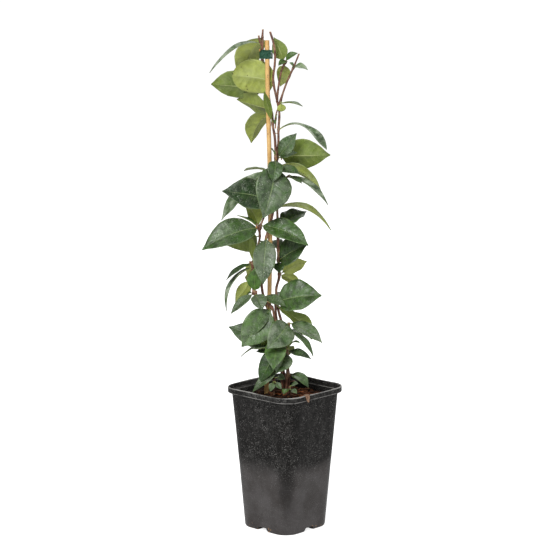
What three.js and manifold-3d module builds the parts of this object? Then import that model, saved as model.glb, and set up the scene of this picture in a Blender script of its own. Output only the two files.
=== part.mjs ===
// Potted star jasmine: leafy stems twined up a cane, in a deep square pot.
// Millimetres, +Z up. The origin is the middle of the pot's foot, on the surface it stands on.
// The pot's sides lie along X and Y. The cane and the plant are laid out in a frame of their own,
// across to the right and depth away from the viewer, then turned about Z and let down into the pot.
import * as THREE from "three";
import { mergeVertices } from "three/addons/utils/BufferGeometryUtils.js";
import Module from "manifold-3d";

const wasm = await Module();
wasm.setup();

// Driving dimensions
const GAP = 0.3;
const PLANT_TURN = 43;
const PLANT_LEVEL = -3.5;
const POT_HEIGHT = 195;
const POT_WALL = 1.6;
const POT_FLOOR = 8;
const CORNER_STEPS = 5;
const RIM_SIDE = 124.4;
const RIM_CORNER = 25.5;
const BODY_SIDE = 115.6;
const BODY_CORNER = 23.5;
const LIP_DROP = 8;
const RIM_EDGE = 1;
const INNER_EDGE = 0.6;
const BREAK_HEIGHT = 92;
const BREAK_SIDE = 102.8;
const BREAK_CORNER = 24;
const FOOT_SIDE = 90.2;
const FOOT_CORNER = 22;
const FLOOR_SIDE = 91.2;
const FOOT_EDGE = 3;
const NOTCH_WIDTH = 22;
const NOTCH_TOP_WIDTH = 14;
const NOTCH_HEIGHT = 5.5;
const NOTCH_INNER = 17;
const DRAIN_RADIUS = 4;
const DRAIN_REACH = 29;
const SOIL_EDGE = 179;
const SOIL_MOUND = 5;
const SOIL_WAVE = 0.9;
const SOIL_SIDE = 110.8;
const SOIL_CORNER = 21.5;
const CHIP_COUNT = 16;
const STRIP_MIDDLE = -26;
const STRIP_THICK = 1.2;
const CANE_RADIUS = 3.1;
const CANE_SIDES = 8;
const CANE_STEP = 50;
const STEM_SIDES = 6;
const STEM_STEP = 24;
const BLADE_THICK = 0.8;
const PETIOLE_LENGTH = 5;
const PETIOLE_HALF = 0.9;
const PETIOLE_THICK = 1.7;
const FOLD = 0.3;
const TIE_BOTTOM = 639.6;
const TIE_HEIGHT = 11.5;
const TIE_THICK = 0.8;
const TAIL_THICK = 1.6;
const STAPLE_HEIGHT = 6.8;
const WIRE = 0.9;

// Larger chips: size, place on the soil, height above it, and turns
const LARGE_CHIPS = [
  [[11, 7, 3], [-30, -41], 3, [0.5, 0.3, 0.5]],
  [[8, 6, 3], [44, 4], 2, [0.2, 0.4, 0.2]],
];

// The viewer's eye in the plant's frame, level with a point above the plant, 3 m away
const EYE = new THREE.Vector3(0, -3000, 893);

// Finishes: colour, roughness, metalness
const FINISHES = {
  pot: [0x2b2b2d, 0.6, 0],
  soil: [0x3a2519, 0.95, 0],
  bark: [0x6d4a33, 0.9, 0],
  cane: [0xd9a95f, 0.5, 0],
  tie: [0x1c4a34, 0.35, 0],
  staple: [0xb9bcbf, 0.35, 1],
  leafLeft: [0x5d7a55, 0.5, 0],
  leafRight: [0x688a58, 0.5, 0],
  leafFront: [0x56754f, 0.5, 0],
  leafLow: [0x4f6f4c, 0.5, 0],
  leafBack: [0x5f8153, 0.5, 0],
  leafShoot: [0x6e8f66, 0.5, 0],
};

// A point given as it is seen: across and up on the upright plane through the pot's axis,
// then its depth, how far behind that plane it really lies (before it where negative)
function seen([across, up, depth]) {
  const onPlane = new THREE.Vector3(across, 0, up);
  return onPlane.sub(EYE).multiplyScalar(1 - depth / EYE.y).add(EYE);
}

function faceOut(positions, index) {
  let volume = 0;
  const [a, b, c] = [new THREE.Vector3(), new THREE.Vector3(), new THREE.Vector3()];
  for (let i = 0; i < index.length; i += 3) {
    a.fromArray(positions, 3 * index[i]);
    b.fromArray(positions, 3 * index[i + 1]);
    c.fromArray(positions, 3 * index[i + 2]);
    volume += a.dot(b.cross(c));
  }
  return volume > 0 ? index : index.toReversed();
}

// A closed skin over rings of points, capped at both ends. Each ring has the same even count.
// A column of faces in turned is split along its other diagonal.
function loft(rings, turned = []) {
  const count = rings[0].length;
  const positions = rings.flat().flatMap((p) => [p.x, p.y, p.z]);
  const index = [];
  for (let r = 0; r + 1 < rings.length; r += 1) {
    for (let j = 0; j < count; j += 1) {
      const next = (j + 1) % count;
      const [a, b] = [r * count + j, r * count + next];
      const [c, d] = [b + count, a + count];
      if (turned.includes(j)) index.push(a, b, d, b, c, d);
      else index.push(a, b, c, a, c, d);
    }
  }
  const last = (rings.length - 1) * count;
  for (let j = 0; j < count / 2 - 1; j += 1) {
    const k = count - 1 - j;
    index.push(j, k, j + 1, j + 1, k, k - 1);
    index.push(last + j, last + j + 1, last + k, last + j + 1, last + k - 1, last + k);
  }
  const geometry = new THREE.BufferGeometry();
  geometry.setAttribute("position", new THREE.Float32BufferAttribute(positions, 3));
  geometry.setIndex(faceOut(positions, index));
  return geometry;
}

function solid(geometry) {
  const bare = geometry.clone();
  bare.deleteAttribute("normal");
  bare.deleteAttribute("uv");
  const merged = mergeVertices(bare, 1e-4);
  return new wasm.Manifold(new wasm.Mesh({
    numProp: 3,
    vertProperties: new Float32Array(merged.attributes.position.array),
    triVerts: new Uint32Array(merged.index.array),
  }));
}

// The largest body of the fused pieces. A hollow that fusing sealed is filled.
function fused(pieces) {
  const whole = pieces.reduce((sum, piece) => sum.add(piece));
  const bodies = whole.decompose();
  return bodies.reduce((best, body) => (body.volume() > best.volume() ? body : best));
}

function named(name, shape, finish) {
  const mesh = shape.getMesh();
  const geometry = new THREE.BufferGeometry();
  geometry.setAttribute("position", new THREE.BufferAttribute(mesh.vertProperties, 3));
  geometry.setIndex(new THREE.BufferAttribute(mesh.triVerts, 1));
  geometry.computeVertexNormals();
  const [color, roughness, metalness] = FINISHES[finish];
  const part = new THREE.Mesh(geometry, new THREE.MeshStandardMaterial({ color, roughness, metalness }));
  part.name = name;
  return part;
}

function boxAt(size, centre, turn = [0, 0, 0]) {
  const box = new THREE.BoxGeometry(...size);
  box.applyMatrix4(new THREE.Matrix4().makeRotationFromEuler(new THREE.Euler(...turn)));
  return solid(box.translate(...centre));
}

// Pot

function roundedSquare(side, corner, heightAt) {
  const ring = [];
  const reach = side / 2 - corner;
  for (let quarter = 0; quarter < 4; quarter += 1) {
    const middle = Math.PI / 4 + (quarter * Math.PI) / 2;
    const centre = new THREE.Vector2(Math.sign(Math.cos(middle)), Math.sign(Math.sin(middle)));
    for (let step = 0; step <= CORNER_STEPS; step += 1) {
      const angle = middle - Math.PI / 4 + (step / CORNER_STEPS) * (Math.PI / 2);
      const x = centre.x * reach + corner * Math.cos(angle);
      const y = centre.y * reach + corner * Math.sin(angle);
      ring.push(new THREE.Vector3(x, y, heightAt(x, y)));
    }
  }
  return ring;
}

const levelRing = ([height, side, corner]) => roundedSquare(side, corner, () => height);

function potOutside() {
  const lip = POT_HEIGHT - LIP_DROP;
  return [
    [0, FOOT_SIDE - 2 * FOOT_EDGE, FOOT_CORNER - FOOT_EDGE],
    [0.3 * FOOT_EDGE, FOOT_SIDE - 0.6 * FOOT_EDGE, FOOT_CORNER - 0.3 * FOOT_EDGE],
    [FOOT_EDGE, FOOT_SIDE, FOOT_CORNER],
    [BREAK_HEIGHT, BREAK_SIDE, BREAK_CORNER],
    [lip - RIM_EDGE / 2, BODY_SIDE, BODY_CORNER],
    [lip, RIM_SIDE - RIM_EDGE, RIM_CORNER - RIM_EDGE / 2],
    [lip + RIM_EDGE, RIM_SIDE, RIM_CORNER],
    [POT_HEIGHT - RIM_EDGE, RIM_SIDE, RIM_CORNER],
    [POT_HEIGHT, RIM_SIDE - RIM_EDGE, RIM_CORNER - RIM_EDGE / 2],
  ];
}

function potInside() {
  const step = POT_HEIGHT - LIP_DROP + POT_WALL;
  const twice = 2 * POT_WALL;
  return [
    [POT_HEIGHT, RIM_SIDE - twice + INNER_EDGE, RIM_CORNER - POT_WALL + INNER_EDGE / 2],
    [POT_HEIGHT - INNER_EDGE, RIM_SIDE - twice, RIM_CORNER - POT_WALL],
    [step + INNER_EDGE, RIM_SIDE - twice, RIM_CORNER - POT_WALL],
    [step, BODY_SIDE - twice, BODY_CORNER - POT_WALL],
    [BREAK_HEIGHT, BREAK_SIDE - twice, BREAK_CORNER - POT_WALL],
    [POT_FLOOR, FLOOR_SIDE - twice, FOOT_CORNER - POT_WALL],
  ];
}

// A drain channel under the floor, from near the middle out through a notch in the side
function drainCut(turn) {
  const outline = new THREE.Shape();
  outline.moveTo(-NOTCH_WIDTH / 2 - 0.8, -1);
  outline.lineTo(NOTCH_WIDTH / 2 + 0.8, -1);
  outline.lineTo(NOTCH_TOP_WIDTH / 2, NOTCH_HEIGHT);
  outline.lineTo(-NOTCH_TOP_WIDTH / 2, NOTCH_HEIGHT);
  const length = FOOT_SIDE / 2 - NOTCH_INNER + 6;
  const channel = new THREE.ExtrudeGeometry(outline, { depth: length, bevelEnabled: false });
  channel.rotateX(Math.PI / 2).rotateZ(Math.PI).translate(0, NOTCH_INNER, 0);
  const hole = new THREE.CylinderGeometry(DRAIN_RADIUS, DRAIN_RADIUS, 2 * POT_FLOOR, 16);
  hole.rotateX(Math.PI / 2).translate(0, DRAIN_REACH, POT_FLOOR);
  const cut = solid(channel).add(solid(hole));
  return cut.rotate([0, 0, turn]);
}

function makePot() {
  const shell = solid(loft([...potOutside(), ...potInside()].map(levelRing)));
  return [0, 90, 180, 270].reduce((pot, turn) => pot.subtract(drainCut(turn)), shell);
}

// Compost

function soilTop(x, y) {
  const across = Math.hypot(x, y) / (BODY_SIDE / 2);
  const waves = Math.sin(x * 0.21 + 1.3) * Math.cos(y * 0.17) + 0.6 * Math.sin(x * 0.43 - y * 0.39);
  return SOIL_EDGE + SOIL_MOUND * Math.max(0, 1 - across * across) + SOIL_WAVE * waves;
}

function seededDraws(seed) {
  let state = seed;
  return () => {
    state = (state * 1664525 + 1013904223) % 4294967296;
    return state / 4294967296;
  };
}

function soilChip(draw) {
  const turn = draw() * 2 * Math.PI;
  const reach = 10 + 38 * Math.sqrt(draw());
  const [x, y] = [reach * Math.cos(turn), reach * Math.sin(turn)];
  const size = [5 + 9 * draw(), 3 + 4 * draw(), 1.8 + 2 * draw()];
  const tilt = [0.5 * (draw() - 0.5), 0.5 * (draw() - 0.5), 2 * Math.PI * draw()];
  return boxAt(size, [x, y, soilTop(x, y) + 0.5], tilt);
}

function makeSoil(clearances) {
  const inset = 2 * (POT_WALL + GAP);
  const body = [
    [POT_FLOOR + GAP, FLOOR_SIDE - inset, FOOT_CORNER - POT_WALL - GAP],
    [BREAK_HEIGHT, BREAK_SIDE - inset, BREAK_CORNER - POT_WALL - GAP],
  ].map(levelRing);
  for (const share of [1, 0.84, 0.67, 0.5, 0.33, 0.16]) {
    body.push(roundedSquare(SOIL_SIDE * share, SOIL_CORNER * share, soilTop));
  }
  const draw = seededDraws(11);
  const chips = Array.from({ length: CHIP_COUNT }, () => soilChip(draw));
  for (const [size, [x, y], rise, turn] of LARGE_CHIPS) {
    chips.push(boxAt(size, [x, y, soilTop(x, y) + rise], turn));
  }
  return clearances.reduce((soil, stem) => soil.subtract(stem), fused([solid(loft(body)), ...chips]));
}

// A torn strip of bark lying over the rim, one end on the compost and the other hanging outside
function makeBarkStrip() {
  const rim = RIM_SIDE / 2;
  const route = [
    [rim - 13, 181, 5], [rim - 7, 190, 6], [rim - 2.4, 195.3, 7],
    [rim + 0.1, 195.3, 7], [rim + 0.5, 191, 6], [rim + 0.6, 186, 2.5],
  ];
  const rings = route.map(([x, z, width], i) => {
    const [before, after] = [route[Math.max(i - 1, 0)], route[Math.min(i + 1, route.length - 1)]];
    const away = new THREE.Vector2(before[1] - after[1], after[0] - before[0]).normalize();
    const lean = STRIP_MIDDLE + 0.6 * i;
    const corners = [[-1, 0], [1, 0], [1, 1], [-1, 1]];
    return corners.map(([s, t]) => (
      new THREE.Vector3(
        x + STRIP_THICK * t * away.x, lean + (s * width) / 2, z + STRIP_THICK * t * away.y)
    ));
  });
  return solid(loft(rings));
}

// Cane, stems and leaves

const smooth = (points) => new THREE.CatmullRomCurve3(points.map(seen), false, "centripetal");

function nearestOn(curves, point) {
  const places = curves.flatMap((curve) => curve.getSpacedPoints(200));
  return places.reduce((best, place) => (
    place.distanceTo(point) < best.distanceTo(point) ? place : best));
}

// A round limb along a smooth curve through the given points, its radius going from r0 to r1.
// It has a ring at each point, and more in between where two points are far apart.
function limb(points, r0, r1, grow = 0, sides = STEM_SIDES, step = STEM_STEP) {
  const curve = smooth(points);
  const spans = points.length - 1;
  const shares = [0];
  for (let i = 0; i < spans; i += 1) {
    const length = seen(points[i]).distanceTo(seen(points[i + 1]));
    const parts = Math.max(1, Math.round(length / step));
    for (let k = 1; k <= parts; k += 1) shares.push((i + k / parts) / spans);
  }
  let side = new THREE.Vector3(0, 1, 0);
  const rings = shares.map((share) => {
    const ahead = curve.getTangent(share);
    side = side.clone().projectOnPlane(ahead).normalize();
    const over = ahead.clone().cross(side);
    const centre = curve.getPoint(share);
    if (share === 0) centre.addScaledVector(ahead, -grow);
    const radius = r0 + (r1 - r0) * share + grow;
    return Array.from({ length: sides }, (_, k) => {
      const angle = (2 * Math.PI * k) / sides;
      return centre.clone()
        .addScaledVector(side, radius * Math.cos(angle))
        .addScaledVector(over, radius * Math.sin(angle));
    });
  });
  return solid(loft(rings));
}

// Blade outlines: share of the blade's length, share of its half width
const LARGE_OUTLINE = [[0.1, 0.52], [0.32, 0.96], [0.57, 0.94], [0.81, 0.5], [1, 0.03]];
const SMALL_OUTLINE = [[0.12, 0.55], [0.4, 1], [0.72, 0.7], [1, 0.05]];
const BLUNT_OUTLINE = [[0.1, 0.5], [0.34, 0.96], [0.66, 0.98], [0.9, 0.64], [1, 0.2]];
const LATE_OUTLINE = [[0.12, 0.4], [0.4, 0.56], [0.64, 0.98], [0.84, 0.74], [1, 0.05]];
const SMALL_WIDTH = 13;

// Faces of a blade's skin that are split the other way, so both sides of the blade match
const BLADE_TURNED = [0, 3];

// One leaf: a short stalk rooted in the stem, then a thin blade folded along its rib.
// tilt leans its upper side from the viewer (0) to the sky (90) and away (180), turn swings
// that lean to the right, bow lifts the rib, most at the share peak of its length, and twist
// turns the blade on towards its tip. The root is moved on to the middle of the nearest limb.
function leaf(curves, base, tip, width, tilt, turn, bow, twist = 0, peak = 0.5, outline = null) {
  const [root, end] = [nearestOn(curves, seen(base)), seen(tip)];
  const chord = end.clone().sub(root);
  const [lean, swing] = [THREE.MathUtils.degToRad(tilt), THREE.MathUtils.degToRad(turn)];
  const face = new THREE.Vector3(
    Math.sin(swing) * Math.cos(lean), -Math.cos(swing) * Math.cos(lean), Math.sin(lean));
  face.projectOnPlane(chord.clone().normalize()).normalize();
  const middle = root.clone().lerp(end, peak).addScaledVector(face, 2 * bow);
  const rib = new THREE.QuadraticBezierCurve3(root, middle, end);
  const stalk = PETIOLE_LENGTH / rib.getLength();
  const usual = width < SMALL_WIDTH ? SMALL_OUTLINE : LARGE_OUTLINE;
  const stations = [[0, PETIOLE_HALF, PETIOLE_THICK, 0], [stalk, PETIOLE_HALF, PETIOLE_THICK, 0]];
  for (const [along, share] of outline ?? usual) {
    const half = Math.max((share * width) / 2, 0.6);
    stations.push([stalk + (1 - stalk) * along, half, BLADE_THICK, FOLD * half]);
  }
  const rings = stations.map(([along, half, thick, rise]) => {
    const centre = rib.getPointAt(along);
    const ahead = rib.getTangentAt(along);
    const spin = THREE.MathUtils.degToRad(twist * along);
    const above = face.clone().projectOnPlane(ahead).normalize().applyAxisAngle(ahead, spin);
    const side = ahead.clone().cross(above);
    const corner = (s, t) => centre.clone()
      .addScaledVector(side, s * half)
      .addScaledVector(above, (t * thick) / 2 + Math.abs(s) * rise);
    return [[-1, 1], [0, 1], [1, 1], [1, -1], [0, -1], [-1, -1]].map(([s, t]) => corner(s, t));
  });
  return solid(loft(rings, BLADE_TURNED));
}

const CANE = [
  [-26, 72, 4], [-25, 192, 4], [-23, 261, 4], [-21, 330, 4], [-20, 433, 4],
  [-21, 512, 4], [-23, 585, 4], [-24, 664, 4],
];

// Each leafy stem: its limbs (points, first and last radius) and its leaves. The leaves with
// depths well behind the stems stand on the plant's far side.
const STEMS = {
  leafy_stem_left: {
    finish: "leafLeft",
    limbs: [
      [[[1, 140, 7], [1, 192, 7], [-4, 230, 9], [-14, 275, 11], [-22, 300, 11], [-28, 316, 5],
        [-31.5, 336, 1], [-31, 370, -2], [-25, 402, -3.5], [-16, 436, -4.5], [-13, 470, -5],
        [-13, 517, -3.5], [-14, 537, -1.5], [-16.5, 551, 1], [-17, 562, 6], [-19, 573, 18],
        [-21, 585, 27], [-23.5, 602, 29], [-24.5, 616, 28], [-26.5, 625, 27.5], [-29, 634.5, 24.5],
        [-29.7, 638.8, 19], [-30.3, 639, 14], [-30.7, 637.6, 9], [-30.8, 637.9, 6], [-30.8, 640.6, 4.4],
        [-30.8, 648.5, 4.2], [-30.5, 653, 3.4], [-30, 669, 2]], 1.9, 1.6],
      [[[-31, 664, 2], [-30, 671, 1], [-29.5, 678, 0]], 1.3, 1.2],
      [[[-30.5, 657, 3], [-33.5, 662, 1], [-35, 670, 0]], 1.3, 1.2],
    ],
    leaves: [
      [[-31, 660, 3], [-100, 621, -14], 16, 84, 0, 13, 0, 0.28],
      [[-30, 669, 3], [-58, 608, 44], 38, 150, 20, 8],
      [[-22, 602, 25], [-98, 606, 46], 41, 160, 0, 0, 0, 0.5, BLUNT_OUTLINE],
      [[-18, 575, 15], [-64, 586, 60], 38, 150, 0, -1],
      [[-17, 570, 8], [-45, 528, 30], 36, 150, 35, 9],
      [[-16.5, 556, 3], [-28, 597, -30], 10, 120, 40, 3],
      [[-13, 509, -4], [-19, 521, -14], 8, 60, 0, 1],
      [[-13, 507, -4], [-16.5, 475.5, -26], 21, 25, 10, 5],
      [[-13, 497, -5], [-29.5, 427.5, -36], 50, 20, 26, 8],
      [[-13, 450, -5], [-84, 463.5, -24], 44, 30, -8, 4],
      [[-25, 401, -4], [-30, 337, -30], 31, 14, 0, 6],
      [[-29, 321, 3], [1, 307, -30], 16, 40, 10, 2],
      [[-31, 350, 0], [-46, 334, 52], 28, 84, -10, 5],
      [[-14, 275, 11], [-46, 262, 52], 30, 84, -10, 6],
      [[-8, 248, 10], [2, 236, 58], 28, 84, 10, 6],
    ],
  },
  leafy_stem_right: {
    finish: "leafRight",
    limbs: [
      [[[4, 140, 0], [4, 192, 0], [5, 209, 0], [4, 223, 0], [3, 246, 1], [0, 270, 2], [-5, 287, 1],
        [-9, 302, 0], [-12, 330, 0], [-8, 348, 0], [-9, 370, 2], [-10, 420, 2], [-11, 450, 1.5],
        [-11.5, 480, 2], [-11, 505, 2.5], [-10, 517, 2.5], [-9, 531, 1], [-9, 546, 0], [-8, 559, 0],
        [-8, 571, 0], [-11, 585, 0], [-16, 612, 0], [-14, 631, 0], [-13.5, 647, 0],
        [-16, 662, 0], [-20, 675, 0]], 2, 1.5],
      [[[-11, 582, 0], [-10, 595, 0], [-5, 624, 1], [0.8, 637.5, 2]], 1.6, 1.3],
      [[[-8, 576, 0], [-6, 585, -0.5], [1, 606, 0], [12, 631, 1], [18, 646, 2]], 1.5, 1.1],
      [[[-9, 575, 0], [-12, 567, -2], [-13, 549, -2.5]], 1.1, 0.9],
      [[[4, 203, 0], [13, 205, -2]], 1, 0.9],
      [[[-11.5, 479, 2], [-2, 480, 0], [6, 485, -3]], 1.3, 1.1],
      [[[-11.5, 485, 2], [-15.5, 490, 9], [-23, 492, 11]], 1.3, 1.1],
    ],
    leaves: [
      [[0.5, 635, 2], [-15, 668, 16], 20, 160, 10, 0],
      [[0.8, 637, 2], [16.3, 647, -2], 11, 50, 0, 3],
      [[0.8, 637, 2], [-9.2, 630.5, -8], 9, 50, 0, 2],
      [[0, 633, 2], [-6.5, 603, 18], 20, 155, -20, 2],
      [[11, 627, 1], [29.5, 625, -6], 12, 60, 10, 4],
      [[11.5, 628, 1], [5.5, 634.5, -3], 9, 60, 0, 1],
      [[-15, 608, 0], [-70, 618, 14], 46, 171, 0, 8.2, 0, 0.2, BLUNT_OUTLINE],
      [[-8, 586, 0], [-5, 570, -12], 12, 160, 0, 2],
      [[-7, 583, 0], [23, 577, -14], 14, 92, 0, 2],
      [[-9, 546, 0], [55, 519, -20], 18, 95, 0, 17, -30, 0.3, LATE_OUTLINE],
      [[-10, 510, 2], [60, 512, 10], 43, 168, 8, 1],
      [[-10, 509, 2], [15, 541, -14], 22, 40, 20, 0],
      [[-10, 508, 2], [16, 515, -20], 15, 50, 0, 0],
      [[-11, 495, 2], [18.5, 487, -30], 19, 40, 20, 1],
      [[-11, 497, 2], [48, 463, -10], 26, 128, -10, 9],
      [[6, 485, -3], [57, 445, -24], 15, 78, 10, 7],
      [[4, 484, -2], [22, 474, -28], 12, 60, 20, 2],
      [[-23, 492, 11], [-85, 424, 26], 30, 45, -30, 7],
      [[-23, 492, 11], [-55, 491, 32], 18, 100, 0, 2],
      [[-11, 443, 2], [61, 411, -12], 30, 112, 0, 12.5],
      [[-11, 418, 2], [28.5, 436, 22], 32, 70, 0, 2],
      [[-9.5, 370, 2], [29, 391, -14], 38, 40, 20, 2],
      [[-9, 368, 2], [-8, 353, -14], 15, 50, 0, 1],
      [[-8, 350, 0], [29, 369, -4], 24, 160, 10, 1],
      [[-8, 350, 0], [21, 336, 20], 17, 150, 0, 2],
      [[5, 213, 0], [31.5, 195, -14], 17, 60, 20, 8],
      [[-10, 520, 2], [28, 505, 56], 32, 86, 10, 5],
      [[-11.5, 472, 2], [-24, 462, 60], 34, 84, -10, 6],
      [[-11, 455, 2], [-18, 448, 60], 24, 84, -10, 6],
      [[-10, 400, 2], [16, 403, 56], 32, 84, 10, 5],
      [[-10, 385, 2], [-28, 392, 58], 30, 86, -10, 5],
      [[-11, 320, 0], [22, 307, 52], 32, 84, 10, 6],
    ],
  },
  leafy_stem_front_left: {
    finish: "leafFront",
    limbs: [
      [[[-4, 140, -5], [-4, 192, -5], [-5, 225, -8], [-8, 257, -9], [-14, 290, -9], [-18, 306, -9],
        [-30, 315, -8], [-41, 326, -8], [-44, 345, -8], [-43, 366, -8], [-38, 385, -7],
        [-34, 400, -6], [-34, 414, -5], [-28, 430, -3.5], [-27, 446, -3]], 1.9, 1.4],
      [[[-34, 408, -6], [-37, 414, -8], [-38, 420, -9]], 1, 1.1],
      [[[-43, 366, -8], [-47, 368, -10]], 1.1, 1],
    ],
    leaves: [
      [[-33, 416, -5], [31, 390, -34], 34, 44, 14, 9],
      [[-35, 415, -5], [-54, 453, 6], 28, 150, -20, 2],
      [[-35, 415, -5], [-111, 384, -30], 41, 38, -14, 12],
      [[-35, 415, -5], [-64, 431, 10], 16, 100, 0, 2],
      [[-34, 405, -6], [-80, 391, 14], 43, 162, -10, -1],
      [[-43, 368, -8], [-45.5, 404, -16], 11, 150, -30, 0],
      [[-43, 368, -8], [-50, 346, 8], 18, 165, -20, 3],
      [[-43, 367, -8], [-79, 343, -26], 12, 80, 0, 4],
      [[-43, 365, -8], [-60, 362, 12], 12, 92, 0, 0],
      [[-43, 364, -8], [-79, 301, -24], 20, 100, -40, 12],
      [[-44, 346, -8], [-67, 312, -10], 18, 140, -30, 3],
      [[-41, 326, -8], [-38.5, 362, -22], 20, 30, -10, 2],
      [[-41, 326, -8], [-31, 302, -26], 22, 40, 10, 3],
      [[-41, 325, -8], [-52, 324, -2], 8, 60, 0, 1],
      [[-41, 325, -8], [-73, 297, -26], 15, 50, -20, 2],
      [[-18, 306, -9], [-58.5, 251.5, -20], 42, 20, 14, 3],
      [[-18, 306, -9], [-60, 262, -12], 30, 40, -10, 1],
      [[-9, 254, -9], [-76, 279, 12], 36, 30, 0, 1],
      [[-14, 291, -9], [-31, 250, -12], 24, 150, -20, 1],
      [[-9, 262, -9], [-16, 220, -46], 29, 34, -6, 5],
      [[-8, 252, -9], [-34, 202, -14], 26, 30, -20, 3],
      [[-9, 262, -9], [-44, 249, -22], 16, 96, 0, -4],
      [[-8, 256, -9], [-60, 238, 4], 12, 84, 0, 6],
      [[-8, 254, -9], [-39, 245, -12], 18, 60, 0, -2],
      [[-5, 224, -8], [-44, 189, -16], 16, 40, -20, 3],
    ],
  },
  leafy_stem_right_low: {
    finish: "leafLow",
    limbs: [
      [[[1.5, 140, -6.5], [1.5, 190, -6.5], [3, 225, -7], [2, 246, -8], [5, 270, -8],
        [5, 285, -8]], 1.8, 1.5],
    ],
    leaves: [
      [[5, 284, -8], [-24.5, 249, -44], 36, 26, 25, 6],
      [[5, 284, -8], [50, 257, -36], 24, 56, 14, 5],
      [[2, 247, -8], [20, 257, -26], 12, 90, 20, 6],
      [[3, 246, -8], [35, 235, -34], 14, 50, 14, 3],
      [[5, 274, -8], [38, 238, -20], 14, 76, 30, 6],
      [[2, 246, -8], [-12, 215, -36], 26, 30, 15, 3],
      [[5, 268, -8], [36, 262, 22], 26, 84, 10, 5],
    ],
  },
  leafy_stem_back: {
    finish: "leafBack",
    limbs: [
      [[[-3, 140, 3], [-3, 192, 3], [-6, 230, 4], [-9, 262, 0], [-11, 286, -4], [-12.5, 299, -5],
        [-13, 313, -5]], 1.8, 1.5],
    ],
    leaves: [
      [[-13, 312, -5], [49, 322, -20], 46, 35, 10, 6],
      [[-13, 309, -5], [37.5, 276, -12], 22, 155, 20, 0, 0, 0.5, LATE_OUTLINE],
    ],
  },
  leafy_shoot_left: {
    finish: "leafShoot",
    limbs: [[[[-15, 150, -12], [-15, 190, -12], [-15, 209, -12]], 1.3, 1.1]],
    leaves: [
      [[-15, 204, -12], [-20, 190, -26], 9, 40, 0, 1],
      [[-15, 204, -12], [-5, 193, -22], 8, 40, 0, 1],
      [[-15, 208, -12], [0, 207, -16], 12, 60, 0, 2],
    ],
  },
  leafy_shoot_front: {
    finish: "leafShoot",
    limbs: [[[[7, 140, -22], [7, 186, -22], [6, 197, -23]], 1.3, 1.1]],
    leaves: [
      [[6, 196, -23], [18, 201, -34], 8, 50, 0, 1],
      [[6, 195, -23], [16, 187, -38], 8, 50, 0, 1],
      [[6, 193, -23], [-2, 186, -50], 11, 60, -30, 2],
    ],
  },
};

function makeLeafyStem({ limbs, leaves }) {
  const curves = limbs.map(([points]) => smooth(points));
  return fused([
    ...limbs.map(([points, r0, r1]) => limb(points, r0, r1)),
    ...leaves.map((values) => leaf(curves, ...values)),
  ]);
}

// Tie

// The outline round two circles a and b, given as [x, y, radius]
function beltOutline([ax, ay, ar], [bx, by, br], Kind) {
  const along = Math.atan2(by - ay, bx - ax);
  const open = Math.acos((ar - br) / Math.hypot(bx - ax, by - ay));
  const outline = new Kind();
  outline.absarc(ax, ay, ar, along + open, along - open + 2 * Math.PI);
  outline.absarc(bx, by, br, along - open, along + open);
  outline.closePath();
  return outline;
}

// A flat tape belted round the cane and the left stem, its two ends pinched into a tail
function makeTie() {
  const [cane, stem] = [[-24, 4, CANE_RADIUS + 0.5], [-30.8, 4.3, 2.9]];
  const wider = ([x, y, radius]) => [x, y, radius + TIE_THICK];
  const outline = beltOutline(wider(cane), wider(stem), THREE.Shape);
  outline.holes.push(beltOutline(cane, stem, THREE.Path));
  const settings = { depth: TIE_HEIGHT, bevelEnabled: false, curveSegments: 8 };
  const belt = solid(new THREE.ExtrudeGeometry(outline, settings).translate(0, 0, TIE_BOTTOM));
  const tail = boxAt([4.2, TAIL_THICK, TIE_HEIGHT], [-19, 1, TIE_BOTTOM + TIE_HEIGHT / 2]);
  return belt.add(tail).subtract(makeStaple(WIRE + 2 * GAP));
}

// A wire staple through the tail: a crown in front, two legs and their ends bent in behind
function makeStaple(wire = WIRE) {
  const [across, middle] = [-18.6, TIE_BOTTOM + TIE_HEIGHT / 2];
  const front = 1 - TAIL_THICK / 2 - GAP - WIRE / 2;
  const back = 1 + TAIL_THICK / 2 + GAP + WIRE / 2;
  const depth = back - front + wire;
  const pieces = [boxAt([wire, wire, STAPLE_HEIGHT + wire], [across, front, middle])];
  for (const side of [-1, 1]) {
    const leg = middle + (side * STAPLE_HEIGHT) / 2;
    pieces.push(boxAt([wire, depth, wire], [across, (front + back) / 2, leg]));
    pieces.push(boxAt([wire, wire, 2.6 + wire], [across, back, leg - side * 1.3]));
  }
  return fused(pieces);
}

const plantGroup = new THREE.Group();
plantGroup.rotation.z = THREE.MathUtils.degToRad(PLANT_TURN);
plantGroup.position.z = PLANT_LEVEL;

const cane = limb(CANE, CANE_RADIUS, CANE_RADIUS, 0, CANE_SIDES, CANE_STEP);

for (const [name, stem] of Object.entries(STEMS)) {
  plantGroup.add(named(name, makeLeafyStem(stem), stem.finish));
}
plantGroup.add(named("cane", cane, "cane"));
plantGroup.add(named("tie", makeTie(), "tie"));
plantGroup.add(named("staple", makeStaple(), "staple"));

const clearances = [limb(CANE, CANE_RADIUS, CANE_RADIUS, GAP, CANE_SIDES, CANE_STEP)];
for (const { limbs: [[points, r0, r1]] } of Object.values(STEMS)) {
  clearances.push(limb(points, r0, r1, GAP));
}
const inPot = clearances.map((shape) => (
  shape.rotate([0, 0, PLANT_TURN]).translate([0, 0, PLANT_LEVEL])));

const jasmine = new THREE.Group();
jasmine.add(named("pot", makePot(), "pot"));
jasmine.add(named("compost", makeSoil(inPot), "soil"));
jasmine.add(named("bark_strip", makeBarkStrip(), "bark"));
jasmine.add(plantGroup);

export default jasmine;
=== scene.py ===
"""Potted star jasmine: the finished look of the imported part.

Leafy stems twine up a bamboo cane that stands in a deep square pot of bark compost. The plant is
laid out in millimetres in a frame of its own, across to the right, up, and depth away from the
viewer, which is turned about Z and let down into the pot. Everything that is built ends in metres,
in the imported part's frame.
"""

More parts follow.
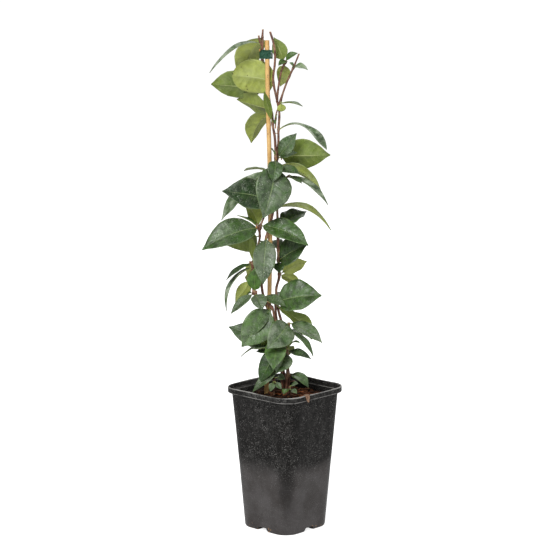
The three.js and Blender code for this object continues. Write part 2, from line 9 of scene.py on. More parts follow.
import logging
import math
import random
from contextlib import contextmanager
from dataclasses import dataclass, field
from enum import Enum
from typing import Callable, Iterator, Sequence

import bmesh
import bpy
import numpy as np
from mathutils import Matrix, Vector

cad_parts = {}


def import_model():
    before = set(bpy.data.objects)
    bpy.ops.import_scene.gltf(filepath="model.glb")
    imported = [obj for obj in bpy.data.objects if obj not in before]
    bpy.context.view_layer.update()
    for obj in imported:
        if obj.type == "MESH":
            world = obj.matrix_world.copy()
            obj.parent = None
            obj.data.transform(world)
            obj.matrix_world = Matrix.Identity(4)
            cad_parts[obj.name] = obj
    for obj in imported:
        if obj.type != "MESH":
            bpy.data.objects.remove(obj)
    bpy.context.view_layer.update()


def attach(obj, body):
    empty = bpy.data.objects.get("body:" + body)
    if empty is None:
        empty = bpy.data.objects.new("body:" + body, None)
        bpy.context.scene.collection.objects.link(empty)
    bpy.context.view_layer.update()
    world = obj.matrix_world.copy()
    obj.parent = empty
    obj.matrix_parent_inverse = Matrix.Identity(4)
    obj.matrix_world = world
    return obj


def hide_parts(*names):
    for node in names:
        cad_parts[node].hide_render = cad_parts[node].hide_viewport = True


log = logging.getLogger("star_jasmine")

Point = tuple[float, float, float]
Colour = tuple[float, float, float, float]
Piece = bpy.types.Object
Material = bpy.types.Material
Node = bpy.types.Node
Socket = bpy.types.NodeSocket
Tree = bpy.types.NodeTree
Surface = tuple[Socket, Socket, Socket]
Array = np.ndarray

MM = 0.001
FULL_TURN = 2 * math.pi
PLANT_TURN = math.radians(43)
PLANT_LEVEL = -3.5
EYE = Vector((0.0, -3000.0, 893.0))
SOIL_EDGE = 179.0
SOIL_MOUND = 5.0
SOIL_WAVE = 0.9
SOIL_REACH = 57.8
LEAF_FOLD = 0.3
STALK = 5.0
MOULD_WIDTH = 30.0
MOULD_LENGTH = 66.0
RIB_STEPS = 81


# Layout


def seen(point: Point) -> Vector:
    """Finds where a point of the plant lies.

    Args:
        point: across and up as seen on the upright plane through the pot's axis, then the depth.

    Returns:
        The point in the plant's own frame, in millimetres.
    """
    across, up, depth = point
    on_plane = Vector((across, 0.0, up))
    return EYE + (on_plane - EYE) * (1 - depth / EYE.y)


def into_pot(points: Array) -> Array:
    """Takes points from the plant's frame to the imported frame.

    Args:
        points: rows of x, y and z in millimetres.

    Returns:
        The same rows in metres.
    """
    cosine, sine = math.cos(PLANT_TURN), math.sin(PLANT_TURN)
    turned = np.empty_like(points)
    turned[:, 0] = cosine * points[:, 0] - sine * points[:, 1]
    turned[:, 1] = sine * points[:, 0] + cosine * points[:, 1]
    turned[:, 2] = points[:, 2] + PLANT_LEVEL
    return turned * MM


def smooth_path(points: Sequence[Vector], spacing: float) -> Array:
    """Runs a centripetal curve through points.

    Args:
        points: what the curve passes through.
        spacing: the greatest step along the curve.

    Returns:
        Rows of x, y and z along the curve.
    """
    knots = [2 * points[0] - points[1], *points, 2 * points[-1] - points[-2]]
    rows = [points[0]]
    for before, start, end, after in zip(knots, knots[1:], knots[2:], knots[3:]):
        pairs = (before, start), (start, end), (end, after)
        first, gap, last = (max((b - a).length, 1e-4) ** 0.5 for a, b in pairs)
        leave = (start - before) / first - (end - before) / (first + gap) + (end - start) / gap
        reach = (end - start) / gap - (after - start) / (gap + last) + (after - end) / last
        leave, reach = leave * gap, reach * gap
        steps = max(1, math.ceil((end - start).length / spacing))
        for step in range(1, steps + 1):
            t = step / steps
            rows.append(
                start * (2 * t**3 - 3 * t**2 + 1)
                + leave * (t**3 - 2 * t**2 + t)
                + end * (3 * t**2 - 2 * t**3)
                + reach * (t**3 - t**2)
            )
    return np.array(rows)


def soil_height(x: float, y: float) -> float:
    """Works out the height of the compost.

    Args:
        x: the place across, in millimetres.
        y: the place in depth.

    Returns:
        The height in millimetres.
    """
    across = math.hypot(x, y) / SOIL_REACH
    waves = math.sin(x * 0.21 + 1.3) * math.cos(y * 0.17) + 0.6 * math.sin(x * 0.43 - y * 0.39)
    return SOIL_EDGE + SOIL_MOUND * max(0.0, 1 - across * across) + SOIL_WAVE * waves


# Modelling tools


def deselect() -> None:
    """Deselects every object."""
    bpy.ops.object.select_all(action="DESELECT")


def activate(piece: Piece) -> None:
    """Selects one object alone and makes it the active one.

    Args:
        piece: the object.
    """
    deselect()
    piece.select_set(True)
    bpy.context.view_layer.objects.active = piece


@contextmanager
def editing() -> Iterator[None]:
    """Keeps the active object in edit mode, and leaves edit mode at the end.

    Returns:
        An iterator of one step, for the with statement.
    """
    bpy.ops.object.mode_set(mode="EDIT")
    yield
    bpy.ops.object.mode_set(mode="OBJECT")


def pick_vertices(piece: Piece, test: Callable[[Vector], bool]) -> None:
    """Selects the vertices that pass a test.

    Args:
        piece: the object in edit mode.
        test: tells from a vertex's place whether it is wanted.
    """
    bpy.ops.mesh.select_mode(type="VERT")
    work = bmesh.from_edit_mesh(piece.data)
    for vertex in work.verts:
        vertex.select = test(vertex.co)
    work.select_flush_mode()
    bmesh.update_edit_mesh(piece.data)


def pick_edges(piece: Piece, test: Callable[[bmesh.types.BMEdge], bool]) -> None:
    """Selects the edges that pass a test.

    Args:
        piece: the object in edit mode.
        test: tells whether an edge is wanted.
    """
    work = bmesh.from_edit_mesh(piece.data)
    for edge in work.edges:
        edge.select_set(test(edge))
    bmesh.update_edit_mesh(piece.data)


def pick_faces(piece: Piece, test: Callable[[Vector, Vector], bool]) -> None:
    """Selects the faces that pass a test.

    Args:
        piece: the object in edit mode.
        test: tells from a face's middle and normal whether it is wanted.
    """
    work = bmesh.from_edit_mesh(piece.data)
    bpy.ops.mesh.select_mode(type="FACE")
    for face in work.faces:
        face.select_set(test(face.calc_center_median(), face.normal))
    bmesh.update_edit_mesh(piece.data)


def face_outwards() -> None:
    """Turns every face of the mesh in edit mode outwards."""
    bpy.ops.mesh.select_all(action="SELECT")
    bpy.ops.mesh.normals_make_consistent(inside=False)


def apply(piece: Piece, kind: str, **settings: object) -> None:
    """Adds a modifier to a piece and applies it.

    Args:
        piece: the object.
        kind: the modifier's type.
        settings: its values.
    """
    activate(piece)
    modifier = piece.modifiers.new(kind.lower(), kind)
    for name, value in settings.items():
        setattr(modifier, name, value)
    bpy.ops.object.modifier_apply(modifier=modifier.name)


def settle(piece: Piece) -> None:
    """Puts a piece's place, turn and size into its mesh."""
    activate(piece)
    bpy.ops.object.transform_apply(location=True, rotation=True, scale=True)


def link_new(name: str, data: bpy.types.ID) -> Piece:
    """Adds an object to the scene.

    Args:
        name: its name.
        data: its mesh, curve, lamp or camera.

    Returns:
        The object.
    """
    piece = bpy.data.objects.new(name, data)
    bpy.context.collection.objects.link(piece)
    return piece


def join(name: str, pieces: Sequence[Piece]) -> Piece:
    """Joins pieces into one.

    Args:
        name: the joined piece's name.
        pieces: the objects, at least one.

    Returns:
        The joined object.
    """
    deselect()
    for piece in pieces:
        piece.select_set(True)
    bpy.context.view_layer.objects.active = pieces[0]
    if len(pieces) > 1:
        bpy.ops.object.join()
    pieces[0].name = name
    pieces[0].data.name = name
    return pieces[0]


def copy_of(master: Piece, place: Matrix) -> Piece:
    """Copies a master, with a mesh of its own, to a place.

    Args:
        master: what is copied.
        place: where the copy goes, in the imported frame.

    Returns:
        The new object, its place already in its mesh.
    """
    mesh = master.data.copy()
    mesh.transform(place)
    return link_new(master.name, mesh)


def tube(name: str, path: Array, radii: Sequence[float], fineness: int) -> Piece:
    """Draws a round limb along a path.

    Args:
        name: the piece's name.
        path: rows of x, y and z in metres.
        radii: the radius at each row, in millimetres.
        fineness: how finely its section is rounded.

    Returns:
        The limb as a closed mesh.
    """
    curve = bpy.data.curves.new(name, "CURVE")
    curve.dimensions = "3D"
    curve.bevel_depth = MM
    curve.bevel_resolution = fineness
    curve.use_fill_caps = True
    spline = curve.splines.new("POLY")
    spline.points.add(len(path) - 1)
    for point, place, radius in zip(spline.points, path, radii):
        point.co = (*place, 1.0)
        point.radius = radius
    activate(link_new(name, curve))
    bpy.ops.object.convert(target="MESH")
    piece = bpy.context.view_layer.objects.active
    with editing():
        bpy.ops.mesh.select_all(action="SELECT")
        bpy.ops.mesh.remove_doubles(threshold=1e-6)
        face_outwards()
    bpy.ops.object.shade_smooth()
    return piece


# Shader tools


class Graph:
    """Adds shader nodes to one tree, each joined to what feeds it."""

    def __init__(self, tree: Tree) -> None:
        """Keeps the tree that the nodes go into."""
        self.tree = tree

    def fill(self, node: Node, inputs: dict) -> Node:
        """Feeds a node's inputs.

        Args:
            node: the node.
            inputs: a socket or a value for each named or numbered input.

        Returns:
            The same node.
        """
        for key, value in inputs.items():
            if isinstance(value, Socket):
                self.tree.links.new(value, node.inputs[key])
            else:
                node.inputs[key].default_value = value
        return node

    def add(self, kind: str, inputs: dict | None = None, **settings: object) -> Node:
        """Adds one node.

        Args:
            kind: the node's type, less its usual first words.
            inputs: a socket or a value for each named or numbered input.
            settings: the node's own settings.

        Returns:
            The new node.
        """
        node = self.tree.nodes.new("ShaderNode" + kind)
        for name, value in settings.items():
            setattr(node, name, value)
        return self.fill(node, inputs or {})

    def math(self, operation: str, *values: object, clamp: bool = False) -> Socket:
        """Works out one number from others."""
        inputs = dict(enumerate(values))
        return self.add("Math", inputs, operation=operation, use_clamp=clamp).outputs[0]

    def times(self, first: object, second: object, clamp: bool = False) -> Socket:
        """Multiplies two numbers."""
        return self.math("MULTIPLY", first, second, clamp=clamp)

    def line(self, value: object, slope: object, start: object, clamp: bool = False) -> Socket:
        """Multiplies a number by a slope and adds a start."""
        return self.math("MULTIPLY_ADD", value, slope, start, clamp=clamp)

    def most(self, first: object, second: object) -> Socket:
        """Takes the larger of two numbers."""
        return self.math("MAXIMUM", first, second)

    def mix(self, share: object, first: object, second: object, blend: str = "MIX") -> Socket:
        """Lays a share of the second colour on the first."""
        inputs = {0: share, 6: first, 7: second}
        return self.add("Mix", inputs, data_type="RGBA", blend_type=blend).outputs[2]

    def lay(self, body: Socket, colour: object, mask: object, share: object) -> Socket:
        """Lays a colour on a body where a mask shows, and there only by a share."""
        return self.mix(self.times(mask, share), body, colour)

    def span(
        self, value: object, low: object, high: object, start: float = 0.0, end: float = 1.0,
    ) -> Socket:
        """Maps the range from low to high softly to the range from start to end."""
        inputs = {0: value, 1: low, 2: high, 3: start, 4: end}
        return self.add("MapRange", inputs, interpolation_type="SMOOTHSTEP").outputs[0]

    def noise(self, vector: object, scale: object, detail: float = 3.0, rough: float = 0.55) -> Socket:
        """Makes noise and returns its strength."""
        inputs = {"Vector": vector, "Scale": scale, "Detail": detail, "Roughness": rough}
        return self.add("TexNoise", inputs).outputs["Fac"]

    def stretched(self, vector: object, factors: Point) -> Socket:
        """Scales a vector along its own axes."""
        return self.add("VectorMath", {0: vector, 1: factors}, operation="MULTIPLY").outputs[0]


class Effects:
    """The shared shader groups, each built once."""

    def __init__(self) -> None:
        """Builds every group."""
        self.speckle = self._speckle()
        self.mottle = self._mottle()
        self.veins = self._veins()
        self.streaks = self._streaks()

    @staticmethod
    def _open(name: str, inputs: dict, outputs: dict) -> tuple[Graph, bpy.types.NodeOutputs, Node]:
        """Starts a group.

        Args:
            name: the group's name.
            inputs: each input's name and kind.
            outputs: each output's name and kind.

        Returns:
            The graph to fill, the group's inputs as sockets, and its output node.
        """
        tree = bpy.data.node_groups.new(name, "ShaderNodeTree")
        for way, sockets in (("INPUT", inputs), ("OUTPUT", outputs)):
            for label, kind in sockets.items():
                tree.interface.new_socket(label, in_out=way, socket_type="NodeSocket" + kind)
        source, sink = tree.nodes.new("NodeGroupInput"), tree.nodes.new("NodeGroupOutput")
        return Graph(tree), source.outputs, sink

    def _speckle(self) -> Tree:
        """Builds small scattered spots with ragged edges.

        Returns:
            The group: Size is the largest spot's, and Share how many of the cells have one.
        """
        inputs = {"Vector": "Vector", "Scale": "Float", "Size": "Float", "Share": "Float"}
        graph, given, sink = self._open("speckle", inputs, {"Mask": "Float"})
        ragged = graph.add("TexNoise", {"Vector": given["Vector"], "Scale": 900.0})
        offset = graph.stretched(ragged.outputs["Color"], (0.0012, 0.0012, 0.0012))
        place = graph.add("VectorMath", {0: given["Vector"], 1: offset}, operation="ADD").outputs[0]
        cells = graph.add("TexVoronoi", {"Vector": place, "Scale": given["Scale"]})
        draw = graph.add("SeparateColor", {0: cells.outputs["Color"]})
        size = graph.times(given["Size"], draw.outputs[0])
        spot = graph.span(graph.math("SUBTRACT", size, cells.outputs["Distance"]), 0.0, 0.08)
        kept = graph.math("LESS_THAN", draw.outputs[1], given["Share"])
        graph.fill(sink, {"Mask": graph.times(spot, kept)})
        return graph.tree

    def _mottle(self) -> Tree:
        """Builds two colours that run into each other in soft blotches.

        Returns:
            The group.
        """
        inputs = {"Vector": "Vector", "Scale": "Float", "Dark": "Color", "Light": "Color"}
        graph, given, sink = self._open("mottle", inputs, {"Colour": "Color", "Blotch": "Float"})
        blotch = graph.noise(given["Vector"], given["Scale"], detail=5.0, rough=0.6)
        blotch = graph.span(blotch, 0.32, 0.68)
        graph.fill(sink, {"Colour": graph.mix(blotch, given["Dark"], given["Light"]), "Blotch": blotch})
        return graph.tree

    def _veins(self) -> Tree:
        """Builds the rib and the side veins of a blade, from its own map.

        Returns:
            The group: Pairs is how many side veins each half has, and Height is their relief.
        """
        masks = dict.fromkeys(("Rib", "Vein", "Edge", "Height"), "Float")
        graph, given, sink = self._open("veins", {"Map": "Vector", "Pairs": "Float"}, masks)
        across, along, _ = graph.add("SeparateXYZ", {0: given["Map"]}).outputs
        off = graph.times(graph.math("ABSOLUTE", graph.math("SUBTRACT", across, 0.5)), 2.0)
        rib_width = graph.line(along, slope=-0.035, start=0.052)
        rib = graph.span(graph.math("DIVIDE", off, rib_width), 0.5, 1.2, 1.0, 0.0)
        wander = graph.times(graph.noise(given["Map"], scale=5.0, detail=2.0), 0.5)
        row = graph.line(along, given["Pairs"], wander)
        row = graph.line(graph.math("POWER", off, 1.4), -1.7, row)
        phase = graph.math("FRACT", graph.math("ADD", row, 8.0))
        ridge = graph.math("ABSOLUTE", graph.line(phase, 2.0, -1.0))
        vein = graph.times(graph.span(ridge, 0.78, 0.98), graph.span(off, 0.55, 0.95, 1.0, 0.0))
        edge = graph.span(off, 0.9, 0.99)
        height = graph.line(ridge, -0.12, graph.line(vein, -0.35, graph.times(rib, -0.6)))
        graph.fill(sink, {"Rib": rib, "Vein": vein, "Edge": edge, "Height": height})
        return graph.tree

    def _streaks(self) -> Tree:
        """Builds fine lines that run up and down.

        Returns:
            The group: lines show where the noise is over Low, in full over High.
        """
        inputs = {"Vector": "Vector", "Scale": "Float", "Low": "Float", "High": "Float"}
        graph, given, sink = self._open("streaks", inputs, {"Mask": "Float"})
        drawn_out = graph.stretched(given["Vector"], (1.0, 1.0, 0.06))
        lines = graph.noise(drawn_out, given["Scale"], detail=4.0, rough=0.6)
        graph.fill(sink, {"Mask": graph.span(lines, given["Low"], given["High"])})
        return graph.tree


class Coat(Graph):
    """A material's graph, which takes noise and the shared effects at their place on the object."""

    def __init__(self, tree: Tree, effects: Effects) -> None:
        """Keeps the tree and the effects, and adds the place.

        Args:
            tree: the material's tree.
            effects: the shared groups.
        """
        super().__init__(tree)
        self.effects = effects
        self.place = self.add("TexCoord").outputs["Object"]

    def effect(self, group: Tree, **inputs: object) -> bpy.types.NodeOutputs:
        """Adds a shared effect with its own values and returns its outputs."""
        return self.add("Group", inputs, node_tree=group).outputs

    def cloud(self, scale: float, detail: float = 3.0, rough: float = 0.55) -> Socket:
        """Makes noise at the place and returns its strength."""
        return self.noise(self.place, scale, detail, rough)

    def specks(self, scale: float, size: float, share: float) -> Socket:
        """Adds spots and returns their mask."""
        values = {"Vector": self.place, "Scale": scale, "Size": size, "Share": share}
        return self.effect(self.effects.speckle, **values)[0]

    def blotches(self, scale: float, dark: Colour, light: Colour) -> bpy.types.NodeOutputs:
        """Adds two colours in blotches and returns the Colour and the Blotch."""
        return self.effect(self.effects.mottle, Vector=self.place, Scale=scale, Dark=dark, Light=light)

    def streaks(self, scale: float, low: float, high: float) -> Socket:
        """Adds lines that run up and down and returns their mask."""
        return self.effect(self.effects.streaks, Vector=self.place, Scale=scale, Low=low, High=high)[0]


# Finishes


@dataclass(frozen=True)
class Finish:
    """What every finish has: a name, the shader's plain values, and its relief's depth in metres."""

    name: str
    roughness: float = 0.5
    specular: float = 0.5
    metallic: float = 0.0
    depth: float = 0.0004

    def build(self, effects: Effects) -> Material:
        """Makes the material.

        Args:
            effects: the shared groups.

        Returns:
            The material.
        """
        material = bpy.data.materials.new(self.name)
        material.use_nodes = True
        coat = Coat(material.node_tree, effects)
        body, rough, height = self.surface(coat)
        bump = coat.add("Bump", {"Height": height, "Distance": self.depth, "Strength": 1.0})
        coat.fill(material.node_tree.nodes["Principled BSDF"], {
            "Base Color": body, "Roughness": rough, "Normal": bump.outputs["Normal"],
            "Specular IOR Level": self.specular, "Metallic": self.metallic,
        })
        return material

    def surface(self, coat: Coat) -> Surface:
        """Works out the colour, the roughness and the relief, in each kind of finish by itself."""
        raise NotImplementedError


@dataclass(frozen=True)
class BladeFinish(Finish):
    """One side of the leaves, with its rib, veins, bloom, painted sheen and water marks."""

    depth: float = 0.0005
    mature: Colour = (0.01, 0.034, 0.005, 1.0)
    young: Colour = (0.075, 0.175, 0.016, 1.0)
    rib: Colour = (0.2, 0.28, 0.1, 1.0)
    vein: Colour = (0.07, 0.125, 0.045, 1.0)
    # The bloom colour is pale enough to paint the leaves' sheen as well as their waxy bloom.
    bloom_and_sheen: Colour = (0.36, 0.42, 0.3, 1.0)
    marks: Colour = (0.5, 0.56, 0.44, 1.0)
    blemish: Colour = (0.05, 0.02, 0.008, 1.0)
    vein_pairs: float = 8.0
    rib_share: float = 0.7
    vein_share: float = 0.4
    edge_share: float = 0.35
    dapple: float = 0.52
    turned: bool = False

    def surface(self, coat: Coat) -> Surface:
        """Colours the blade from its leaf's tone.

        Args:
            coat: the material's graph.

        Returns:
            The colour, the roughness and the relief's height.
        """
        tone = coat.add("Attribute", attribute_name="leaf_tone").outputs
        youth, bloom_and_sheen, marks = coat.add("SeparateColor", {0: tone["Color"]}).outputs
        # On the underside the glow paints light into the colour; on the upper side youth is the leaf's
        # age.
        fresh = tone["Alpha"] if self.turned else youth
        veins = coat.effect(coat.effects.veins, Map=coat.add("UVMap").outputs[0], Pairs=self.vein_pairs)
        cloud = coat.cloud(scale=70.0, detail=4.0)
        age = coat.line(cloud, 0.5, coat.math("SUBTRACT", fresh, 0.25), clamp=True)
        body = coat.mix(age, self.mature, self.young)
        shade = coat.cloud(scale=110.0, detail=5.0, rough=0.65)
        shade = coat.span(shade, 0.34, 0.66, self.dapple, 2.0 - self.dapple)
        grey = coat.add("CombineColor", dict.fromkeys(range(3), shade)).outputs[0]
        body = coat.mix(1.0, body, grey, "MULTIPLY")
        body = coat.lay(body, self.vein, veins["Vein"], self.vein_share)
        # The bloom is a waxy layer and a painted sheen, laid in patches.
        film_and_sheen = coat.span(coat.cloud(scale=48.0, detail=6.0, rough=0.7), 0.36, 0.7, 0.03, 0.92)
        film_and_sheen = coat.times(film_and_sheen, bloom_and_sheen, clamp=True)
        body = coat.mix(film_and_sheen, body, self.bloom_and_sheen)
        body = coat.lay(body, self.rib, veins["Rib"], self.rib_share)
        body = coat.lay(body, self.marks, self._dirt(coat), marks)
        spoilt = coat.add("Attribute", attribute_name="leaf_blemish").outputs["Fac"]
        body = coat.lay(body, self.blemish, coat.specks(scale=520.0, size=0.5, share=0.045), spoilt)
        body = coat.lay(body, self.rib, veins["Edge"], self.edge_share)
        height = coat.times(veins["Height"], -1.0 if self.turned else 1.0)
        height = coat.line(coat.cloud(scale=600.0), 0.12, height)
        return body, coat.line(film_and_sheen, 0.14, self.roughness), coat.line(cloud, 0.9, height)

    @staticmethod
    def _dirt(coat: Coat) -> Socket:
        """Finds where dried water and dust show, in patches.

        Args:
            coat: the material's graph.

        Returns:
            Their mask.
        """
        spots = coat.specks(scale=560.0, size=0.45, share=0.3)
        dust = coat.specks(scale=1500.0, size=0.8, share=0.5)
        dried = coat.span(coat.cloud(scale=380.0, detail=6.0, rough=0.8), 0.58, 0.7)
        dirty = coat.most(coat.times(spots, 0.85), coat.times(dust, 0.5))
        dirty = coat.most(dirty, coat.times(dried, 0.75))
        return coat.times(dirty, coat.span(coat.cloud(scale=85.0, detail=4.0), 0.4, 0.6, 0.1, 1.0))


@dataclass(frozen=True)
class WoodFinish(Finish):
    """Bark, cane or compost: two colours in blotches, streaks and pale worn patches."""

    dark: Colour = (0.06, 0.02, 0.012, 1.0)
    light: Colour = (0.24, 0.105, 0.06, 1.0)
    worn: Colour = (0.4, 0.25, 0.15, 1.0)
    blotch_scale: float = 160.0
    streak_scale: float = 900.0
    streak_share: float = 0.35
    worn_low: float = 0.58
    worn_high: float = 0.72
    worn_share: float = 0.7
    speck: Colour = (0.05, 0.03, 0.02, 1.0)
    speck_share: float = 0.0
    toned: bool = False

    def surface(self, coat: Coat) -> Surface:
        """Colours the wood.

        Args:
            coat: the material's graph.

        Returns:
            The colour, the roughness and the relief's height.
        """
        mottle = coat.blotches(self.blotch_scale, self.dark, self.light)
        lines = coat.streaks(self.streak_scale, low=0.45, high=0.65)
        body = coat.lay(mottle["Colour"], self.light, lines, self.streak_share)
        worn = coat.span(coat.cloud(self.blotch_scale * 0.6, detail=4.0), self.worn_low, self.worn_high)
        body = coat.lay(body, self.worn, worn, self.worn_share)
        if self.speck_share > 0:
            specks = coat.specks(scale=420.0, size=0.5, share=self.speck_share)
            body = coat.lay(body, self.speck, specks, 0.75)
        if self.toned:
            # The chip tone holds each piece's lightness; on the scattered chips it includes painted
            # shade from the walls.
            tone = coat.add("Attribute", attribute_name="chip_tone")
            body = coat.mix(1.0, body, tone.outputs["Color"], "MULTIPLY")
        rough = coat.line(mottle["Blotch"], -0.12, self.roughness + 0.06)
        return body, rough, coat.line(lines, 0.6, coat.cloud(scale=1200.0, detail=4.0))


@dataclass(frozen=True)
class PotFinish(Finish):
    """Worn black plastic: dusty and streaked above; smoother below, with a painted floor reflection.

    Its heights are in metres above the foot.
    """

    depth: float = 0.0006
    black: Colour = (0.004, 0.0036, 0.0032, 1.0)
    worn_black: Colour = (0.011, 0.0102, 0.0096, 1.0)
    # The grey and the paler grey after it are a painted reflection of the pale floor on the lower walls.
    grey: Colour = (0.052, 0.0465, 0.0445, 1.0)
    pale_reflection_grey: Colour = (0.082, 0.076, 0.0755, 1.0)
    dust: Colour = (0.27, 0.265, 0.255, 1.0)
    # The pale colour of the lip's rubbed lower edge and of the painted highlight along its top edge.
    rub_and_highlight: Colour = (0.46, 0.45, 0.43, 1.0)
    crumbs: Colour = (0.36, 0.22, 0.12, 1.0)
    taper_height: float = 0.09
    taper_blur: float = 0.012
    rim_height: float = 0.1865
    foot_height: float = 0.011
    haze_share: float = 0.11
    scuff_share: float = 0.16
    rub_and_highlight_share: float = 0.8

    def surface(self, coat: Coat) -> Surface:
        """Colours the plastic from its height.

        Args:
            coat: the material's graph.

        Returns:
            The colour, the roughness and the relief's height.
        """
        *sides, rise = coat.add("SeparateXYZ", {0: coat.place}).outputs
        sway = coat.line(coat.cloud(scale=26.0), 2 * self.taper_blur, -self.taper_blur)
        level = coat.math("ADD", rise, sway)
        taper, blur = self.taper_height, self.taper_blur
        upper = coat.span(level, taper - blur, taper + blur)
        # Below the taper the colour is a painted reflection of the pale floor, in soft grey blotches.
        low = coat.blotches(34.0, self.grey, self.pale_reflection_grey)["Colour"]
        # Painted reflection: along the rounded corners the painted grey gives way to a dark band.
        low = coat.mix(self._dark_corner_reflection(coat, sides, rise), low, self.worn_black)
        body = coat.mix(upper, low, coat.blotches(60.0, self.black, self.worn_black)["Colour"])
        body = coat.lay(body, self.dust, self._haze(coat, upper), self.haze_share)
        spots = coat.specks(scale=420.0, size=0.5, share=0.14)
        specks = coat.most(coat.times(spots, 0.8), coat.specks(scale=1300.0, size=0.85, share=0.26))
        share = coat.times(coat.span(level, 0.05, 0.11, 0.13, 0.55), specks)
        thick = coat.noise(coat.stretched(coat.place, (1.0, 1.0, 0.4)), scale=75.0, detail=4.0)
        body = coat.lay(body, self.dust, share, coat.span(thick, 0.3, 0.7, 0.2, 1.0))
        body = self._rim(coat, rise, body)
        bits = coat.specks(scale=300.0, size=0.75, share=0.22)
        body = coat.lay(body, self.crumbs, bits, coat.span(rise, self.foot_height, 0.001))
        rough = coat.line(upper, 0.22, coat.line(specks, 0.15, self.roughness))
        grain = coat.times(coat.cloud(scale=900.0), 0.25)
        return body, rough, coat.line(coat.cloud(scale=55.0, detail=2.0), 1.4, grain)

    @staticmethod
    def _haze(coat: Coat, upper: Socket) -> Socket:
        """Finds where dust has run down or lies in patches, most on the upper walls.

        Args:
            coat: the material's graph.
            upper: the upper walls' mask.

        Returns:
            The dust's mask.
        """
        runs = coat.streaks(scale=330.0, low=0.5, high=0.7)
        patches = coat.span(coat.cloud(scale=22.0, detail=4.0, rough=0.65), 0.4, 0.62)
        haze = coat.span(coat.cloud(scale=130.0, detail=5.0, rough=0.75), 0.46, 0.72)
        return coat.times(coat.times(coat.most(runs, haze), patches), coat.line(upper, 0.75, 0.25))

    def _rim(self, coat: Coat, rise: Socket, body: Socket) -> Socket:
        """Scuffs the lip, rubs its lower edge pale, and paints a highlight along its upper edge.

        Args:
            coat: the material's graph.
            rise: the height above the foot.
            body: the colour so far.

        Returns:
            The colour with the lip's wear and its painted highlight.
        """
        lip = coat.span(rise, self.rim_height, self.rim_height + 0.0085)
        scuffs = coat.span(coat.cloud(scale=210.0, detail=5.0, rough=0.7), 0.42, 0.64)
        body = coat.lay(body, self.dust, coat.times(lip, scuffs), self.scuff_share)
        # A painted highlight along the rim's top edge, and real rubbing along the lip's lower edge.
        top_edge_highlight = coat.span(rise, self.rim_height + 0.0068, self.rim_height + 0.0082)
        hem = coat.math("ABSOLUTE", coat.math("SUBTRACT", rise, self.rim_height + 0.0011))
        hem = coat.span(hem, 0.0002, 0.0009, 0.6, 0.0)
        rub_and_highlight = coat.span(coat.cloud(scale=90.0, detail=5.0, rough=0.7), 0.36, 0.54, 0.25, 1.0)
        return coat.lay(body, self.rub_and_highlight, coat.times(coat.most(top_edge_highlight, hem), rub_and_highlight), self.rub_and_highlight_share)

    def _dark_corner_reflection(self, coat: Coat, sides: Sequence[Socket], rise: Socket) -> Socket:
        """Finds strips of painted dark reflection along the pot's four upright edges, most below the
        taper.

        Args:
            coat: the material's graph.
            sides: the object's X and Y.
            rise: the height above the foot.

        Returns:
            The strips' mask.
        """
        near = coat.math("MINIMUM", *(coat.math("ABSOLUTE", side) for side in sides))
        sway = coat.line(coat.cloud(scale=40.0), 0.012, -0.006)
        corner = coat.span(coat.math("ADD", near, sway), 0.027, 0.042)
        return coat.times(corner, coat.span(rise, 0.0, self.taper_height, 0.15, 0.9))


@dataclass(frozen=True)
class SheenFinish(Finish):
    """A smooth made surface, such as tape or wire, with faint clouding and creases."""

    depth: float = 0.0003
    colour: Colour = (0.006, 0.045, 0.022, 1.0)
    cloud: Colour = (0.012, 0.075, 0.04, 1.0)
    scale: float = 300.0

    def surface(self, coat: Coat) -> Surface:
        """Clouds the colour a little.

        Args:
            coat: the material's graph.

        Returns:
            The colour, the roughness and the relief's height.
        """
        mottle = coat.blotches(self.scale, self.colour, self.cloud)
        height = coat.noise(coat.stretched(coat.place, (1.0, 1.0, 0.3)), self.scale * 2.0)
        return mottle["Colour"], coat.line(mottle["Blotch"], 0.12, self.roughness), height


@dataclass(frozen=True)
class FloorFinish(SheenFinish):
    """The pale floor, which also glows a little towards the viewer."""

    glow: float = 0.85

    def build(self, effects: Effects) -> Material:
        """Makes the material.

        Args:
            effects: the shared groups.

        Returns:
            The material.
        """
        material = super().build(effects)
        graph = Graph(material.node_tree)
        glow = graph.times(graph.add("LightPath").outputs["Is Camera Ray"], self.glow)
        shader = material.node_tree.nodes["Principled BSDF"]
        graph.fill(shader, {"Emission Color": self.cloud, "Emission Strength": glow})
        return material


